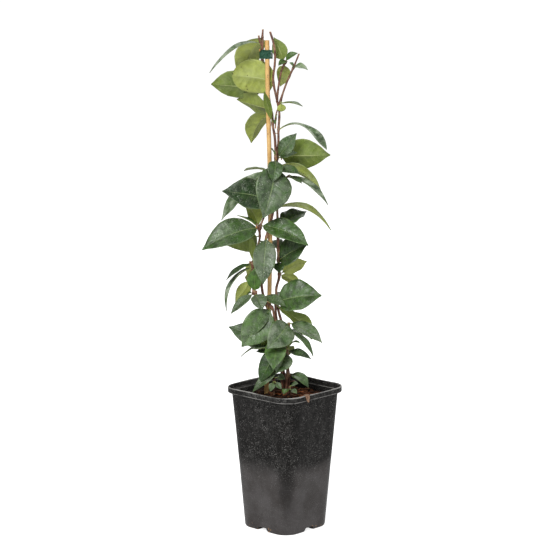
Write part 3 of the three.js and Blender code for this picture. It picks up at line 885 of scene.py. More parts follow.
class Finishes:
    """Every finish of the part, built once."""

    def __init__(self) -> None:
        """Builds the shared groups and the materials."""
        effects = Effects()
        self.leaf_top = BladeFinish("leaf_top", 0.42, 0.5).build(effects)
        self.leaf_under = BladeFinish(
            "leaf_under", 0.6, 0.35, depth=0.00035,
            mature=(0.07, 0.13, 0.007, 1.0), young=(0.33, 0.38, 0.075, 1.0),
            rib=(0.44, 0.49, 0.2, 1.0), vein=(0.4, 0.45, 0.16, 1.0), bloom_and_sheen=(0.4, 0.45, 0.26, 1.0),
            marks=(0.3, 0.33, 0.14, 1.0), vein_share=0.16, dapple=0.84, turned=True,
        ).build(effects)
        self.stalk = WoodFinish(
            "leaf_stalk", 0.5, depth=0.0001,
            dark=(0.2, 0.25, 0.06, 1.0), light=(0.33, 0.38, 0.12, 1.0), worn=(0.3, 0.2, 0.1, 1.0),
        ).build(effects)
        self.bark = WoodFinish("stem_bark", 0.5, worn_low=0.5, worn_high=0.68).build(effects)
        self.cut = WoodFinish(
            "cut_wood", 0.7,
            dark=(0.3, 0.17, 0.1, 1.0), light=(0.56, 0.42, 0.27, 1.0), worn=(0.2, 0.1, 0.05, 1.0),
        ).build(effects)
        self.bud = WoodFinish(
            "bud", 0.5,
            dark=(0.3, 0.12, 0.03, 1.0), light=(0.5, 0.24, 0.07, 1.0), worn=(0.2, 0.24, 0.06, 1.0),
        ).build(effects)
        self.cane = WoodFinish(
            "bamboo", 0.36, depth=0.00015,
            dark=(0.6, 0.35, 0.115, 1.0), light=(0.78, 0.5, 0.2, 1.0), worn=(0.85, 0.62, 0.32, 1.0),
            blotch_scale=60.0, streak_scale=700.0, speck_share=0.05,
        ).build(effects)
        self.compost = WoodFinish(
            "compost", 0.95, 0.15, depth=0.001,
            dark=(0.008, 0.0045, 0.003, 1.0), light=(0.035, 0.016, 0.008, 1.0),
            worn=(0.08, 0.035, 0.015, 1.0), blotch_scale=220.0,
        ).build(effects)
        self.chips = WoodFinish(
            "bark_chips", 0.85, 0.2, depth=0.0007,
            dark=(0.17, 0.06, 0.022, 1.0), light=(0.46, 0.19, 0.075, 1.0), worn=(0.6, 0.36, 0.2, 1.0),
            blotch_scale=260.0, toned=True,
        ).build(effects)
        self.strip = WoodFinish(
            "torn_bark", 0.8, 0.3, depth=0.0006,
            dark=(0.14, 0.075, 0.045, 1.0), light=(0.36, 0.22, 0.14, 1.0), worn=(0.5, 0.37, 0.27, 1.0),
            blotch_scale=300.0,
        ).build(effects)
        self.pot = PotFinish("pot_plastic", 0.25, 0.13).build(effects)
        self.tape = SheenFinish("tie_tape", 0.2, 0.6).build(effects)
        self.wire = SheenFinish(
            "staple_wire", 0.3, 0.5, 1.0, 0.00005, (0.5, 0.5, 0.51, 1.0), (0.62, 0.62, 0.63, 1.0),
        ).build(effects)
        self.floor = FloorFinish(
            "floor", 0.9, 0.1, 0.0, 0.0, (0.9, 0.9, 0.9, 1.0), (0.93, 0.93, 0.93, 1.0), scale=2.0,
        ).build(effects)


# Leaves


class Form(Enum):
    """The forms of blade: shares of its length, and how much of its half width it has there."""

    BROAD = (
        (0, 0.03, 0.1, 0.2, 0.32, 0.44, 0.57, 0.7, 0.81, 0.9, 0.95, 1),
        (0.05, 0.2, 0.52, 0.82, 0.97, 1, 0.94, 0.74, 0.5, 0.24, 0.12, 0.03),
    )
    ROUND = (
        (0, 0.05, 0.12, 0.24, 0.4, 0.58, 0.74, 0.85, 0.93, 0.98, 1),
        (0.05, 0.3, 0.6, 0.88, 1, 1, 0.9, 0.72, 0.5, 0.25, 0.06),
    )
    FULL = (
        (0, 0.04, 0.12, 0.24, 0.38, 0.55, 0.7, 0.82, 0.9, 0.96, 1),
        (0.05, 0.26, 0.58, 0.86, 1, 1, 0.88, 0.64, 0.38, 0.16, 0.03),
    )
    LATE = (
        (0, 0.06, 0.14, 0.28, 0.4, 0.52, 0.64, 0.75, 0.85, 0.93, 1),
        (0.08, 0.24, 0.42, 0.5, 0.58, 0.82, 1, 0.94, 0.72, 0.4, 0.04),
    )
    SLIM = (
        (0, 0.05, 0.14, 0.28, 0.42, 0.56, 0.7, 0.82, 0.92, 1),
        (0.07, 0.28, 0.6, 0.92, 1, 0.93, 0.72, 0.46, 0.2, 0.03),
    )


@dataclass(frozen=True)
class Tone:
    """How a leaf is coloured.

    youth turns its upper side from dark to fresh green, bloom lays a pale waxy layer and painted
    sheen on it, marks are white water marks, glow paints light into its underside, and blemish
    its brown specks.
    """

    youth: float = 0.25
    bloom_and_sheen: float = 0.35
    marks: float = 0.45
    glow: float = 0.5
    blemish: float = 0.0


# The strongest bloom, as on SILVER, paints the sheen of a top side that catches the light.
DUSTY = Tone(0.25, 0.3, 0.6, 0.4)
DARK = Tone(0.1, 0.06, 0.3, 0.2)
MARKED = Tone(0.15, 0.15, 0.9, 0.4)
GREEN = Tone(0.6, 0.08, 0.15, 0.5)
SILVER = Tone(0.3, 1.5, 0.3, 0.5)
PALE = Tone(0.8, 0.3, 0.1, 1.0)
DULL = Tone(0.6, 0.9, 0.1, 0.7)
HOARY = Tone(0.3, 0.62, 0.6, 0.4)
OLIVE = Tone(0.4, 0.2, 0.1, 0.3)
FROSTED = Tone(0.9, 1.6, 0.1, 0.9)
BROWNED = Tone(0.8, 0.3, 0.1, 0.95, 1.0)
SLIM, FULL, ROUND, LATE = Form.SLIM, Form.FULL, Form.ROUND, Form.LATE


@dataclass(frozen=True)
class Leaf:
    """One leaf: where it is rooted, where its tip is, and how it lies in between.

    tilt leans its upper side from the viewer (0) to the sky (90) and away (180), turn swings that
    lean to the right, bow lifts the rib, stalk is how far from its root the blade starts, twist
    turns the blade on towards its tip, and peak is the share of its length where the bow is highest.
    """

    base: Point
    tip: Point
    width: float
    tilt: float
    turn: float = 0
    bow: float = 0
    tone: Tone = Tone()
    form: Form = Form.BROAD
    stalk: float = STALK
    twist: float = 0
    peak: float = 0.5


@dataclass
class LeafMould:
    """A leaf of one form, modelled flat with its top side up. Its unit is the millimetre."""

    form: Form
    finishes: Finishes
    columns: int = 16
    rows: int = 40
    thickness: float = 0.5
    furrow: float = 0.35
    stalk_reach: float = 16.0

    def model(self) -> Piece:
        """Models the blade and its stalk.

        Returns:
            The leaf, its base at the origin and its rib along +Y.
        """
        bpy.ops.mesh.primitive_grid_add(
            x_subdivisions=self.columns, y_subdivisions=self.rows, size=1, location=(0, 0.5, 0),
        )
        blade = bpy.context.object
        settle(blade)
        blade.scale = (MOULD_WIDTH, MOULD_LENGTH, 1)
        settle(blade)
        activate(blade)
        with editing():
            shares, widths = self.form.value
            for row in range(self.rows + 1):
                along = row / self.rows
                level = along * MOULD_LENGTH
                pick_vertices(blade, lambda place: abs(place.y - level) < 0.01)
                width = float(np.interp(along, shares, widths))
                bpy.ops.transform.resize(value=(width, 1, 1), center_override=(0, level, 0))
            pick_vertices(blade, lambda place: abs(place.x) < 0.01)
            bpy.ops.transform.translate(value=(0, 0, -self.furrow))
        blade.data.materials.append(self.finishes.leaf_top)
        blade.data.materials.append(self.finishes.leaf_under)
        apply(blade, "SOLIDIFY", thickness=self.thickness, offset=0.0, material_offset=1)
        leaf = join("leaf_" + self.form.name.lower(), [blade, self._stalk()])
        bpy.ops.object.shade_smooth()
        return leaf

    def _stalk(self) -> Piece:
        """Models the stalk, which tapers away under the blade.

        Returns:
            The stalk.
        """
        bpy.ops.mesh.primitive_cone_add(
            vertices=8, radius1=0.95, radius2=0.3, depth=STALK + self.stalk_reach,
            rotation=(-math.pi / 2, 0, 0), location=(0, (self.stalk_reach - STALK) / 2 - 0.4, -0.55),
        )
        stalk = bpy.context.object
        settle(stalk)
        with editing():
            pick_edges(stalk, lambda edge: abs(edge.verts[0].co.y - edge.verts[1].co.y) > 1)
            bpy.ops.mesh.subdivide(number_cuts=8)
        stalk.data.materials.append(self.finishes.stalk)
        return stalk


@dataclass
class LeafPress:
    """Lays copies of the flat leaves on their ribs.

    ripple and quilt are the height of the edge's waves and of the swelling between side veins, as
    shares of the half width. sway is how far a blade swings out, as a share of its width, and
    nudge how far a leaf's tone is off.
    """

    finishes: Finishes
    seed: int = 7
    ripple: float = 0.07
    quilt: float = 0.016
    sway: float = 0.03
    nudge: float = 0.07
    moulds: dict[Form, Piece] = field(init=False)
    draw: random.Random = field(init=False)

    def __post_init__(self) -> None:
        """Models one mould of each form, and seeds the draws."""
        self.moulds = {form: LeafMould(form, self.finishes).model() for form in Form}
        self.draw = random.Random(self.seed)

    @staticmethod
    def _rib(leaf: Leaf, root: Vector) -> tuple[Array, Vector]:
        """Finds the line of a leaf's rib.

        Args:
            leaf: the leaf.
            root: where its stalk starts, in the plant's frame.

        Returns:
            Even steps along the rib, and the way that the upper side faces.
        """
        end = seen(leaf.tip)
        chord = end - root
        lean, swing = math.radians(leaf.tilt), math.radians(leaf.turn)
        level = math.cos(lean)
        face = Vector((math.sin(swing) * level, -math.cos(swing) * level, math.sin(lean)))
        face -= face.project(chord)
        face.normalize()
        middle = root.lerp(end, leaf.peak) + face * 2 * leaf.bow
        t = np.linspace(0, 1, RIB_STEPS)[:, None]
        line = (1 - t) ** 2 * np.array(root) + 2 * t * (1 - t) * np.array(middle) + t**2 * np.array(end)
        length = np.concatenate([[0], np.cumsum(np.linalg.norm(np.diff(line, axis=0), axis=1))])
        even = np.linspace(0, length[-1], RIB_STEPS)
        return np.stack([np.interp(even, length, line[:, k]) for k in range(3)], axis=1), face

    def lay(self, leaf: Leaf, root: Vector) -> Piece:
        """Bends a copy of the right mould on to a leaf's rib.

        Args:
            leaf: the leaf.
            root: where its stalk starts, in the plant's frame.

        Returns:
            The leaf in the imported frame.
        """
        rib, face = self._rib(leaf, root)
        length = float(np.linalg.norm(np.diff(rib, axis=0), axis=1).sum())
        mesh = self.moulds[leaf.form].data.copy()
        flat = np.empty(len(mesh.vertices) * 3)
        mesh.vertices.foreach_get("co", flat)
        flat = flat.reshape(-1, 3)
        stalk = leaf.stalk / length
        up = flat[:, 1]
        along = np.where(up < 0, stalk * (1 + up / STALK), stalk + (1 - stalk) * up / MOULD_LENGTH)
        along = np.clip(along, 0, 1)
        steps = np.linspace(0, 1, len(rib))
        slope = np.gradient(rib, axis=0)
        centre = np.stack([np.interp(along, steps, rib[:, k]) for k in range(3)], axis=1)
        ahead = np.stack([np.interp(along, steps, slope[:, k]) for k in range(3)], axis=1)
        ahead /= np.linalg.norm(ahead, axis=1)[:, None]
        above = np.array(face) - ahead * (ahead @ np.array(face))[:, None]
        above /= np.linalg.norm(above, axis=1)[:, None]
        side = np.cross(ahead, above)
        spin = np.radians(leaf.twist) * along
        above, side = (
            above * np.cos(spin)[:, None] - side * np.sin(spin)[:, None],
            side * np.cos(spin)[:, None] + above * np.sin(spin)[:, None],
        )
        x = np.where(up < 0, flat[:, 0], flat[:, 0] * leaf.width / MOULD_WIDTH)
        shares, widths = leaf.form.value
        half = np.interp(np.clip(up / MOULD_LENGTH, 0, 1), shares, widths) * leaf.width / 2
        out = np.clip(np.abs(x) / np.maximum(half, 0.4), 0, 1)
        lift = LEAF_FOLD * half * (1.75 * out - 0.85 * out**2) + self._crumple(along, half, out, x > 0)
        sway = self.draw.uniform(-self.sway, self.sway) * leaf.width * np.sin(math.pi * along) ** 2
        placed = centre + side * (x + sway)[:, None] + above * (flat[:, 2] + lift)[:, None]
        mesh.vertices.foreach_set("co", into_pot(placed).ravel())
        self._paint(mesh, leaf.tone)
        mesh.update()
        return link_new("leaf", mesh)

    def _paint(self, mesh: bpy.types.Mesh, tone: Tone) -> None:
        """Gives every point of a leaf its tone.

        Args:
            mesh: the leaf's mesh.
            tone: how the leaf is coloured.
        """
        nudge = self.draw.uniform(-self.nudge, self.nudge)
        values = np.maximum((tone.youth + nudge, tone.bloom_and_sheen - nudge, tone.marks, tone.glow + nudge), 0)
        tones = mesh.attributes.new("leaf_tone", "FLOAT_COLOR", "POINT")
        tones.data.foreach_set("color", np.tile(values.astype(np.float32), len(mesh.vertices)))
        blemish = mesh.attributes.new("leaf_blemish", "FLOAT", "POINT")
        blemish.data.foreach_set("value", [tone.blemish] * len(mesh.vertices))

    def _crumple(self, along: Array, half: Array, out: Array, right: Array) -> Array:
        """Works out how far the blade rises in waves along its edges and between its side veins.

        Args:
            along: each point's share of the leaf's length.
            half: half the blade's width there.
            out: each point's share of the way from the rib to the edge.
            right: whether each point lies right of the rib.

        Returns:
            Each point's rise in millimetres.
        """
        phase, waves = self.draw.uniform(0, 6.28), self.draw.uniform(1.5, 2.6)
        height = self.ripple * self.draw.uniform(0.5, 1.3)
        ripple = height * half * out**2 * np.sin(FULL_TURN * waves * along + phase + 1.9 * right)
        slant = FULL_TURN * (7.5 * along - 1.1 * out**1.3) + right
        return ripple + self.quilt * half * np.sin(slant) * 4 * out * (1 - out)

    def put_away(self) -> None:
        """Removes the moulds."""
        for mould in self.moulds.values():
            bpy.data.objects.remove(mould)


@dataclass(frozen=True)
class Limb:
    """A stem or branch: the points it passes through and its first and last radius."""

    points: tuple[Point, ...]
    first: float
    last: float


@dataclass
class LeafyStem:
    """One leafy stem: its limbs, its leaves, and the buds and cut ends on it."""

    node: str
    slot: str
    limbs: Sequence[Limb]
    leaves: Sequence[Leaf]
    buds: Sequence[Point] = ()
    cuts: Sequence[Point] = ()
    spacing: float = 4.0
    swelling: float = 0.28
    knot_reach: float = 3.2
    bud_size: Point = (0.9, 0.9, 1.9)
    cut_size: Point = (1.5, 1.5, 0.6)

    def _paths(self) -> list[Array]:
        """The limbs' middle lines, in the plant's frame."""
        return [smooth_path(list(map(seen, limb.points)), self.spacing) for limb in self.limbs]

    def build(self, press: LeafPress, finishes: Finishes) -> list[Piece]:
        """Builds the stem's wood and its leaves.

        Args:
            press: lays the leaves.
            finishes: the part's materials.

        Returns:
            The wood and the leaves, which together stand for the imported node.
        """
        paths = self._paths()
        places = np.concatenate(paths)
        roots = []
        for leaf in self.leaves:
            base = np.array(seen(leaf.base))
            roots.append(places[np.argmin(np.linalg.norm(places - base, axis=1))])
        wood = [self._limb(limb, path, roots) for limb, path in zip(self.limbs, paths)]
        for piece in wood:
            piece.data.materials.append(finishes.bark)
        wood += [self._bead(point, finishes.bud, self.bud_size) for point in self.buds]
        wood += [self._bead(point, finishes.cut, self.cut_size) for point in self.cuts]
        stems = join(self.node + "_wood", wood)
        blades = [press.lay(leaf, Vector(root)) for leaf, root in zip(self.leaves, roots)]
        leaves = join(self.node + "_leaves", blades)
        for piece in (stems, leaves):
            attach(piece, "root")
            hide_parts(self.node)
        return [stems, leaves]

    def _limb(self, limb: Limb, path: Array, roots: Sequence[Array]) -> Piece:
        """Draws one limb, swollen where leaves are rooted.

        Args:
            limb: its radii.
            path: its middle line, in the plant's frame.
            roots: where leaves are rooted.

        Returns:
            The limb's mesh.
        """
        shares = np.linspace(0, 1, len(path))
        radii = limb.first + (limb.last - limb.first) * shares
        for root in roots:
            distance = np.linalg.norm(path - root, axis=1)
            radii = radii * (1 + self.swelling * np.exp(-((distance / self.knot_reach) ** 2)))
        steps = np.arange(len(path))
        radii = radii * (1 + 0.05 * np.sin(steps * 1.7) + 0.03 * np.sin(steps * 0.61))
        return tube(self.node + "_limb", into_pot(path), radii, 3)

    def _bead(self, point: Point, finish: Material, size: Point) -> Piece:
        """Models a bud or a cut end.

        Args:
            point: where it sits.
            finish: its material.
            size: its three half sizes, in millimetres.

        Returns:
            The bead's mesh.
        """
        place = into_pot(np.array([seen(point)]))[0]
        bpy.ops.mesh.primitive_uv_sphere_add(
            segments=12, ring_count=8, radius=MM, location=place, scale=size,
        )
        bead = bpy.context.object
        settle(bead)
        bpy.ops.object.shade_smooth()
        bead.data.materials.append(finish)
        return bead


STEMS = (
    LeafyStem(
        "leafy_stem_left", "leafy_stem_left",
        limbs=(
            Limb(((1, 140, 7), (1, 192, 7), (-4, 230, 9), (-14, 275, 11), (-22, 300, 11),
                  (-28, 316, 5), (-31.5, 336, 1), (-31, 370, -2), (-25, 402, -3.5), (-16, 436, -4.5),
                  (-13, 470, -5), (-13, 517, -3.5), (-14, 537, -1.5), (-16.5, 551, 1), (-17, 562, 6),
                  (-19, 573, 18), (-21, 585, 27), (-23.5, 602, 29), (-24.5, 616, 28),
                  (-26.5, 625, 27.5), (-29, 634.5, 24.5), (-29.7, 638.8, 19), (-30.3, 639, 14),
                  (-30.7, 637.6, 9), (-30.8, 637.9, 6), (-30.8, 640.6, 4.4), (-30.8, 648.5, 4.2),
                  (-30.5, 653, 3.4), (-30, 669, 2)), 1.9, 1.6),
            Limb(((-31, 664, 2), (-30, 671, 1), (-29.5, 678, 0)), 1.3, 1.2),
            Limb(((-30.5, 657, 3), (-33.5, 662, 1), (-35, 670, 0)), 1.3, 1.2),
        ),
        leaves=(
            Leaf((-31, 660, 3), (-100, 621, -14), 16, 84, 0, 13, SILVER, SLIM, peak=0.28),
            Leaf((-30, 669, 3), (-58, 608, 44), 38, 150, 20, 8, PALE),
            Leaf((-22, 602, 25), (-98, 606, 46), 41, 160, 0, 0, OLIVE, FULL),
            Leaf((-18, 575, 15), (-64, 586, 60), 38, 150, 0, -1, Tone(0.4, 0.1, 0.1, 0.6)),
            Leaf((-17, 570, 8), (-45, 528, 30), 36, 150, 35, 9, Tone(0.4, 0.2, 0.1, 0.75)),
            Leaf((-16.5, 556, 3), (-28, 597, -30), 10, 120, 40, 3, DARK, SLIM),
            Leaf((-13, 509, -4), (-19, 521, -14), 8, 60, 0, 1, DARK, SLIM),
            Leaf((-13, 507, -4), (-16.5, 475.5, -26), 21, 25, 10, 5, DUSTY),
            Leaf((-13, 497, -5), (-29.5, 427.5, -36), 50, 20, 26, 8, Tone(0.25, 0.3, 0.7, 0.4)),
            Leaf((-13, 450, -5), (-84, 463.5, -24), 44, 30, -8, 4, Tone(0.05, 0.05, 0.9, 0.4)),
            Leaf((-25, 401, -4), (-30, 337, -30), 31, 14, 0, 6, Tone(0.2, 0.35, 0.95, 0.4)),
            Leaf((-29, 321, 3), (1, 307, -30), 16, 40, 10, 2, DUSTY),
            Leaf((-31, 350, 0), (-46, 334, 52), 28, 84, -10, 5),
            Leaf((-14, 275, 11), (-46, 262, 52), 30, 84, -10, 6),
            Leaf((-8, 248, 10), (2, 236, 58), 28, 84, 10, 6),
        ),
        buds=((-33.5, 651, -1), (-12, 507, -7)),
        cuts=((-29.5, 678, 0), (-35, 670, 0), (-30, 669, 1)),
    ),
    LeafyStem(
        "leafy_stem_right", "leafy_stem_right",
        limbs=(
            Limb(((4, 140, 0), (4, 192, 0), (5, 209, 0), (4, 223, 0), (3, 246, 1), (0, 270, 2),
                  (-5, 287, 1), (-9, 302, 0), (-12, 330, 0), (-8, 348, 0), (-9, 370, 2),
                  (-10, 420, 2), (-11, 450, 1.5), (-11.5, 480, 2), (-11, 505, 2.5), (-10, 517, 2.5),
                  (-9, 531, 1), (-9, 546, 0), (-8, 559, 0), (-8, 571, 0), (-11, 585, 0),
                  (-16, 612, 0), (-14, 631, 0), (-13.5, 647, 0), (-16, 662, 0), (-20, 675, 0)), 2,
                  1.5),
            Limb(((-11, 582, 0), (-10, 595, 0), (-5, 624, 1), (0.8, 637.5, 2)), 1.6, 1.3),
            Limb(((-8, 576, 0), (-6, 585, -0.5), (1, 606, 0), (12, 631, 1), (18, 646, 2)), 1.5, 1.1),
            Limb(((-9, 575, 0), (-12, 567, -2), (-13, 549, -2.5)), 1.1, 0.9),
            Limb(((4, 203, 0), (13, 205, -2)), 1, 0.9),
            Limb(((-11.5, 479, 2), (-2, 480, 0), (6, 485, -3)), 1.3, 1.1),
            Limb(((-11.5, 485, 2), (-15.5, 490, 9), (-23, 492, 11)), 1.3, 1.1),
        ),
        leaves=(
            Leaf((0.5, 635, 2), (-15, 668, 16), 20, 160, 10, 0, OLIVE),
            Leaf((0.8, 637, 2), (16.3, 647, -2), 11, 50, 0, 3, GREEN, SLIM, 1),
            Leaf((0.8, 637, 2), (-9.2, 630.5, -8), 9, 50, 0, 2, GREEN, SLIM, 0.5),
            Leaf((0, 633, 2), (-6.5, 603, 18), 20, 155, -20, 2, PALE),
            Leaf((11, 627, 1), (29.5, 625, -6), 12, 60, 10, 4, FROSTED, stalk=1),
            Leaf((11.5, 628, 1), (5.5, 634.5, -3), 9, 60, 0, 1, FROSTED, SLIM, 1),
            Leaf((-15, 608, 0), (-70, 618, 14), 46, 171, 0, 8.2, BROWNED, ROUND, 1.5, peak=0.2),
            Leaf((-8, 586, 0), (-5, 570, -12), 12, 160, 0, 2, PALE),
            Leaf((-12.4, 560, -2), (-14, 553, -8), 3.4, 60, 0, 1, PALE, SLIM, 1),
            Leaf((-12.4, 560, -2), (-10.5, 566, -8), 3, 60, 0, 1, PALE, SLIM, 1),
            Leaf((-7, 583, 0), (23, 577, -14), 14, 92, 0, 2, SILVER, SLIM),
            Leaf((-9, 546, 0), (55, 519, -20), 18, 95, 0, 17, SILVER, LATE, twist=-30, peak=0.3),
            Leaf((-10, 510, 2), (60, 512, 10), 43, 168, 8, 1, OLIVE),
            Leaf((-10, 509, 2), (15, 541, -14), 22, 40, 20, 0, DUSTY, SLIM),
            Leaf((-10, 508, 2), (16, 515, -20), 15, 50, 0, 0, MARKED, SLIM),
            Leaf((-11, 495, 2), (18.5, 487, -30), 19, 40, 20, 1, DUSTY),
            Leaf((-11, 497, 2), (48, 463, -10), 26, 128, -10, 9, DULL),
            Leaf((6, 485, -3), (57, 445, -24), 15, 78, 10, 7, SILVER, SLIM),
            Leaf((4, 484, -2), (22, 474, -28), 12, 60, 20, 2, DUSTY, SLIM),
            Leaf((-23, 492, 11), (-85, 424, 26), 30, 45, -30, 7, SILVER, SLIM),
            Leaf((-23, 492, 11), (-55, 491, 32), 18, 100, 0, 2, SILVER, SLIM),
            Leaf((-11, 443, 2), (61, 411, -12), 30, 112, 0, 12.5, DULL, SLIM),
            Leaf((-11, 418, 2), (28.5, 436, 22), 32, 70, 0, 2, DARK),
            Leaf((-9.5, 370, 2), (29, 391, -14), 38, 40, 20, 2, DARK, stalk=1),
            Leaf((-9, 368, 2), (-8, 353, -14), 15, 50, 0, 1, DARK),
            Leaf((-8, 350, 0), (29, 369, -4), 24, 160, 10, 1, PALE),
            Leaf((-8, 350, 0), (21, 336, 20), 17, 150, 0, 2, PALE),
            Leaf((5, 213, 0), (31.5, 195, -14), 17, 60, 20, 8, DUSTY),
            Leaf((-10, 520, 2), (28, 505, 56), 32, 86, 10, 5),
            Leaf((-11.5, 472, 2), (-24, 462, 60), 34, 84, -10, 6),
            Leaf((-11, 455, 2), (-18, 448, 60), 24, 84, -10, 6),
            Leaf((-10, 400, 2), (16, 403, 56), 32, 84, 10, 5),
            Leaf((-10, 385, 2), (-28, 392, 58), 30, 86, -10, 5),
            Leaf((-11, 320, 0), (22, 307, 52), 32, 84, 10, 6),
        ),
        buds=((-5, 507, -2), (-13, 549, -4)),
        cuts=((-20, 675, 0), (0.8, 637.5, 2), (18, 646, 2), (-11.5, 541, -2)),
    ),
    LeafyStem(
        "leafy_stem_front_left", "leafy_stem_front_left",
        limbs=(
            Limb(((-4, 140, -5), (-4, 192, -5), (-5, 225, -8), (-8, 257, -9), (-14, 290, -9),
                  (-18, 306, -9), (-30, 315, -8), (-41, 326, -8), (-44, 345, -8), (-43, 366, -8),
                  (-38, 385, -7), (-34, 400, -6), (-34, 414, -5), (-28, 430, -3.5), (-27, 446, -3)),
                  1.9, 1.4),
            Limb(((-34, 408, -6), (-37, 414, -8), (-38, 420, -9)), 1, 1.1),
            Limb(((-43, 366, -8), (-47, 368, -10)), 1.1, 1),
        ),
        leaves=(
            Leaf((-33, 416, -5), (31, 390, -34), 34, 44, 14, 9, Tone(0.3, 0.15, 0.9, 0.4)),
            Leaf((-35, 415, -5), (-54, 453, 6), 28, 150, -20, 2, Tone(0.5, 0.1, 0.1, 0.7)),
            Leaf((-35, 415, -5), (-111, 384, -30), 41, 38, -14, 12, Tone(0.3, 0.2, 0.9, 0.4)),
            Leaf((-35, 415, -5), (-64, 431, 10), 16, 100, 0, 2, PALE, SLIM),
            Leaf((-34, 405, -6), (-80, 391, 14), 43, 162, -10, -1, OLIVE),
            Leaf((-43, 368, -8), (-45.5, 404, -16), 11, 150, -30, 0, OLIVE, SLIM),
            Leaf((-43, 368, -8), (-50, 346, 8), 18, 165, -20, 3, PALE),
            Leaf((-43, 367, -8), (-79, 343, -26), 12, 80, 0, 4, DARK, SLIM),
            Leaf((-43, 365, -8), (-60, 362, 12), 12, 92, 0, 0, PALE, SLIM),
            Leaf((-43, 364, -8), (-79, 301, -24), 20, 100, -40, 12, SILVER, SLIM),
            Leaf((-44, 346, -8), (-67, 312, -10), 18, 140, -30, 3, PALE, SLIM),
            Leaf((-41, 326, -8), (-38.5, 362, -22), 20, 30, -10, 2, GREEN),
            Leaf((-41, 326, -8), (-31, 302, -26), 22, 40, 10, 3, DUSTY),
            Leaf((-41, 325, -8), (-52, 324, -2), 8, 60, 0, 1, DARK, SLIM),
            Leaf((-41, 325, -8), (-73, 297, -26), 15, 50, -20, 2, DUSTY, SLIM),
            Leaf((-18, 306, -9), (-58.5, 251.5, -20), 42, 20, 14, 3, Tone(0.5, 0.35, 0.7, 0.4)),
            Leaf((-18, 306, -9), (-60, 262, -12), 30, 40, -10, 1, DUSTY),
            Leaf((-9, 254, -9), (-76, 279, 12), 36, 30, 0, 1, DUSTY),
            Leaf((-14, 291, -9), (-31, 250, -12), 24, 150, -20, 1, OLIVE),
            Leaf((-9, 262, -9), (-16, 220, -46), 29, 34, -6, 5, GREEN),
            Leaf((-8, 252, -9), (-34, 202, -14), 26, 30, -20, 3, DARK),
            Leaf((-9, 262, -9), (-44, 249, -22), 16, 96, 0, -4, SILVER, SLIM),
            Leaf((-8, 256, -9), (-60, 238, 4), 12, 84, 0, 6, DUSTY, SLIM),
            Leaf((-8, 254, -9), (-39, 245, -12), 18, 60, 0, -2, DARK),
            Leaf((-5, 224, -8), (-44, 189, -16), 16, 40, -20, 3, DUSTY, SLIM),
        ),
        buds=((-38.5, 415, -9), (-47.5, 367.5, -11)),
        cuts=((-27, 446, -3),),
    ),
    LeafyStem(
        "leafy_stem_right_low", "leafy_stem_right_low",
        limbs=(
            Limb(((1.5, 140, -6.5), (1.5, 190, -6.5), (3, 225, -7), (2, 246, -8), (5, 270, -8),
                  (5, 285, -8)), 1.8, 1.5),
        ),
        leaves=(
            Leaf((5, 284, -8), (-24.5, 249, -44), 36, 26, 25, 6, HOARY),
            Leaf((5, 284, -8), (50, 257, -36), 24, 56, 14, 5, HOARY),
            Leaf((2, 247, -8), (20, 257, -26), 12, 90, 20, 6, OLIVE, SLIM),
            Leaf((3, 246, -8), (35, 235, -34), 14, 50, 14, 3, DARK, SLIM),
            Leaf((5, 274, -8), (38, 238, -20), 14, 76, 30, 6, OLIVE, SLIM),
            Leaf((2, 246, -8), (-12, 215, -36), 26, 30, 15, 3, HOARY),
            Leaf((5, 268, -8), (36, 262, 22), 26, 84, 10, 5),
        ),
        cuts=((5, 285, -8),),
    ),
    LeafyStem(
        "leafy_stem_back", "leafy_stem_back",
        limbs=(
            Limb(((-3, 140, 3), (-3, 192, 3), (-6, 230, 4), (-9, 262, 0), (-11, 286, -4),
                  (-12.5, 299, -5), (-13, 313, -5)), 1.8, 1.5),
        ),
        leaves=(
            Leaf((-13, 312, -5), (49, 322, -20), 46, 35, 10, 6, Tone(0.4, 0.12, 0.5, 0.4)),
            Leaf((-13, 309, -5), (37.5, 276, -12), 22, 155, 20, 0, OLIVE, LATE),
        ),
        cuts=((-13, 313, -5),),
    ),
    LeafyStem(
        "leafy_shoot_left", "leafy_shoots",
        limbs=(Limb(((-15, 150, -12), (-15, 190, -12), (-15, 209, -12)), 1.3, 1.1),),
        leaves=(
            Leaf((-15, 204, -12), (-20, 190, -26), 9, 40, 0, 1, HOARY, SLIM),
            Leaf((-15, 204, -12), (-5, 193, -22), 8, 40, 0, 1, HOARY, SLIM),
            Leaf((-15, 208, -12), (0, 207, -16), 12, 60, 0, 2, DUSTY),
        ),
    ),
    LeafyStem(
        "leafy_shoot_front", "leafy_shoots",
        limbs=(Limb(((7, 140, -22), (7, 186, -22), (6, 197, -23)), 1.3, 1.1),),
        leaves=(
            Leaf((6, 196, -23), (18, 201, -34), 8, 50, 0, 1, HOARY, SLIM),
            Leaf((6, 195, -23), (16, 187, -38), 8, 50, 0, 1, HOARY, SLIM),
            Leaf((6, 193, -23), (-2, 186, -50), 11, 60, -30, 2, GREEN, SLIM),
        ),
    ),
)


# Pot, compost and what lies on them


@dataclass(frozen=True)
class Level:
    """One rounded square of a profile: its height, side and corner radius, in millimetres."""

    height: float
    side: float
    corner: float


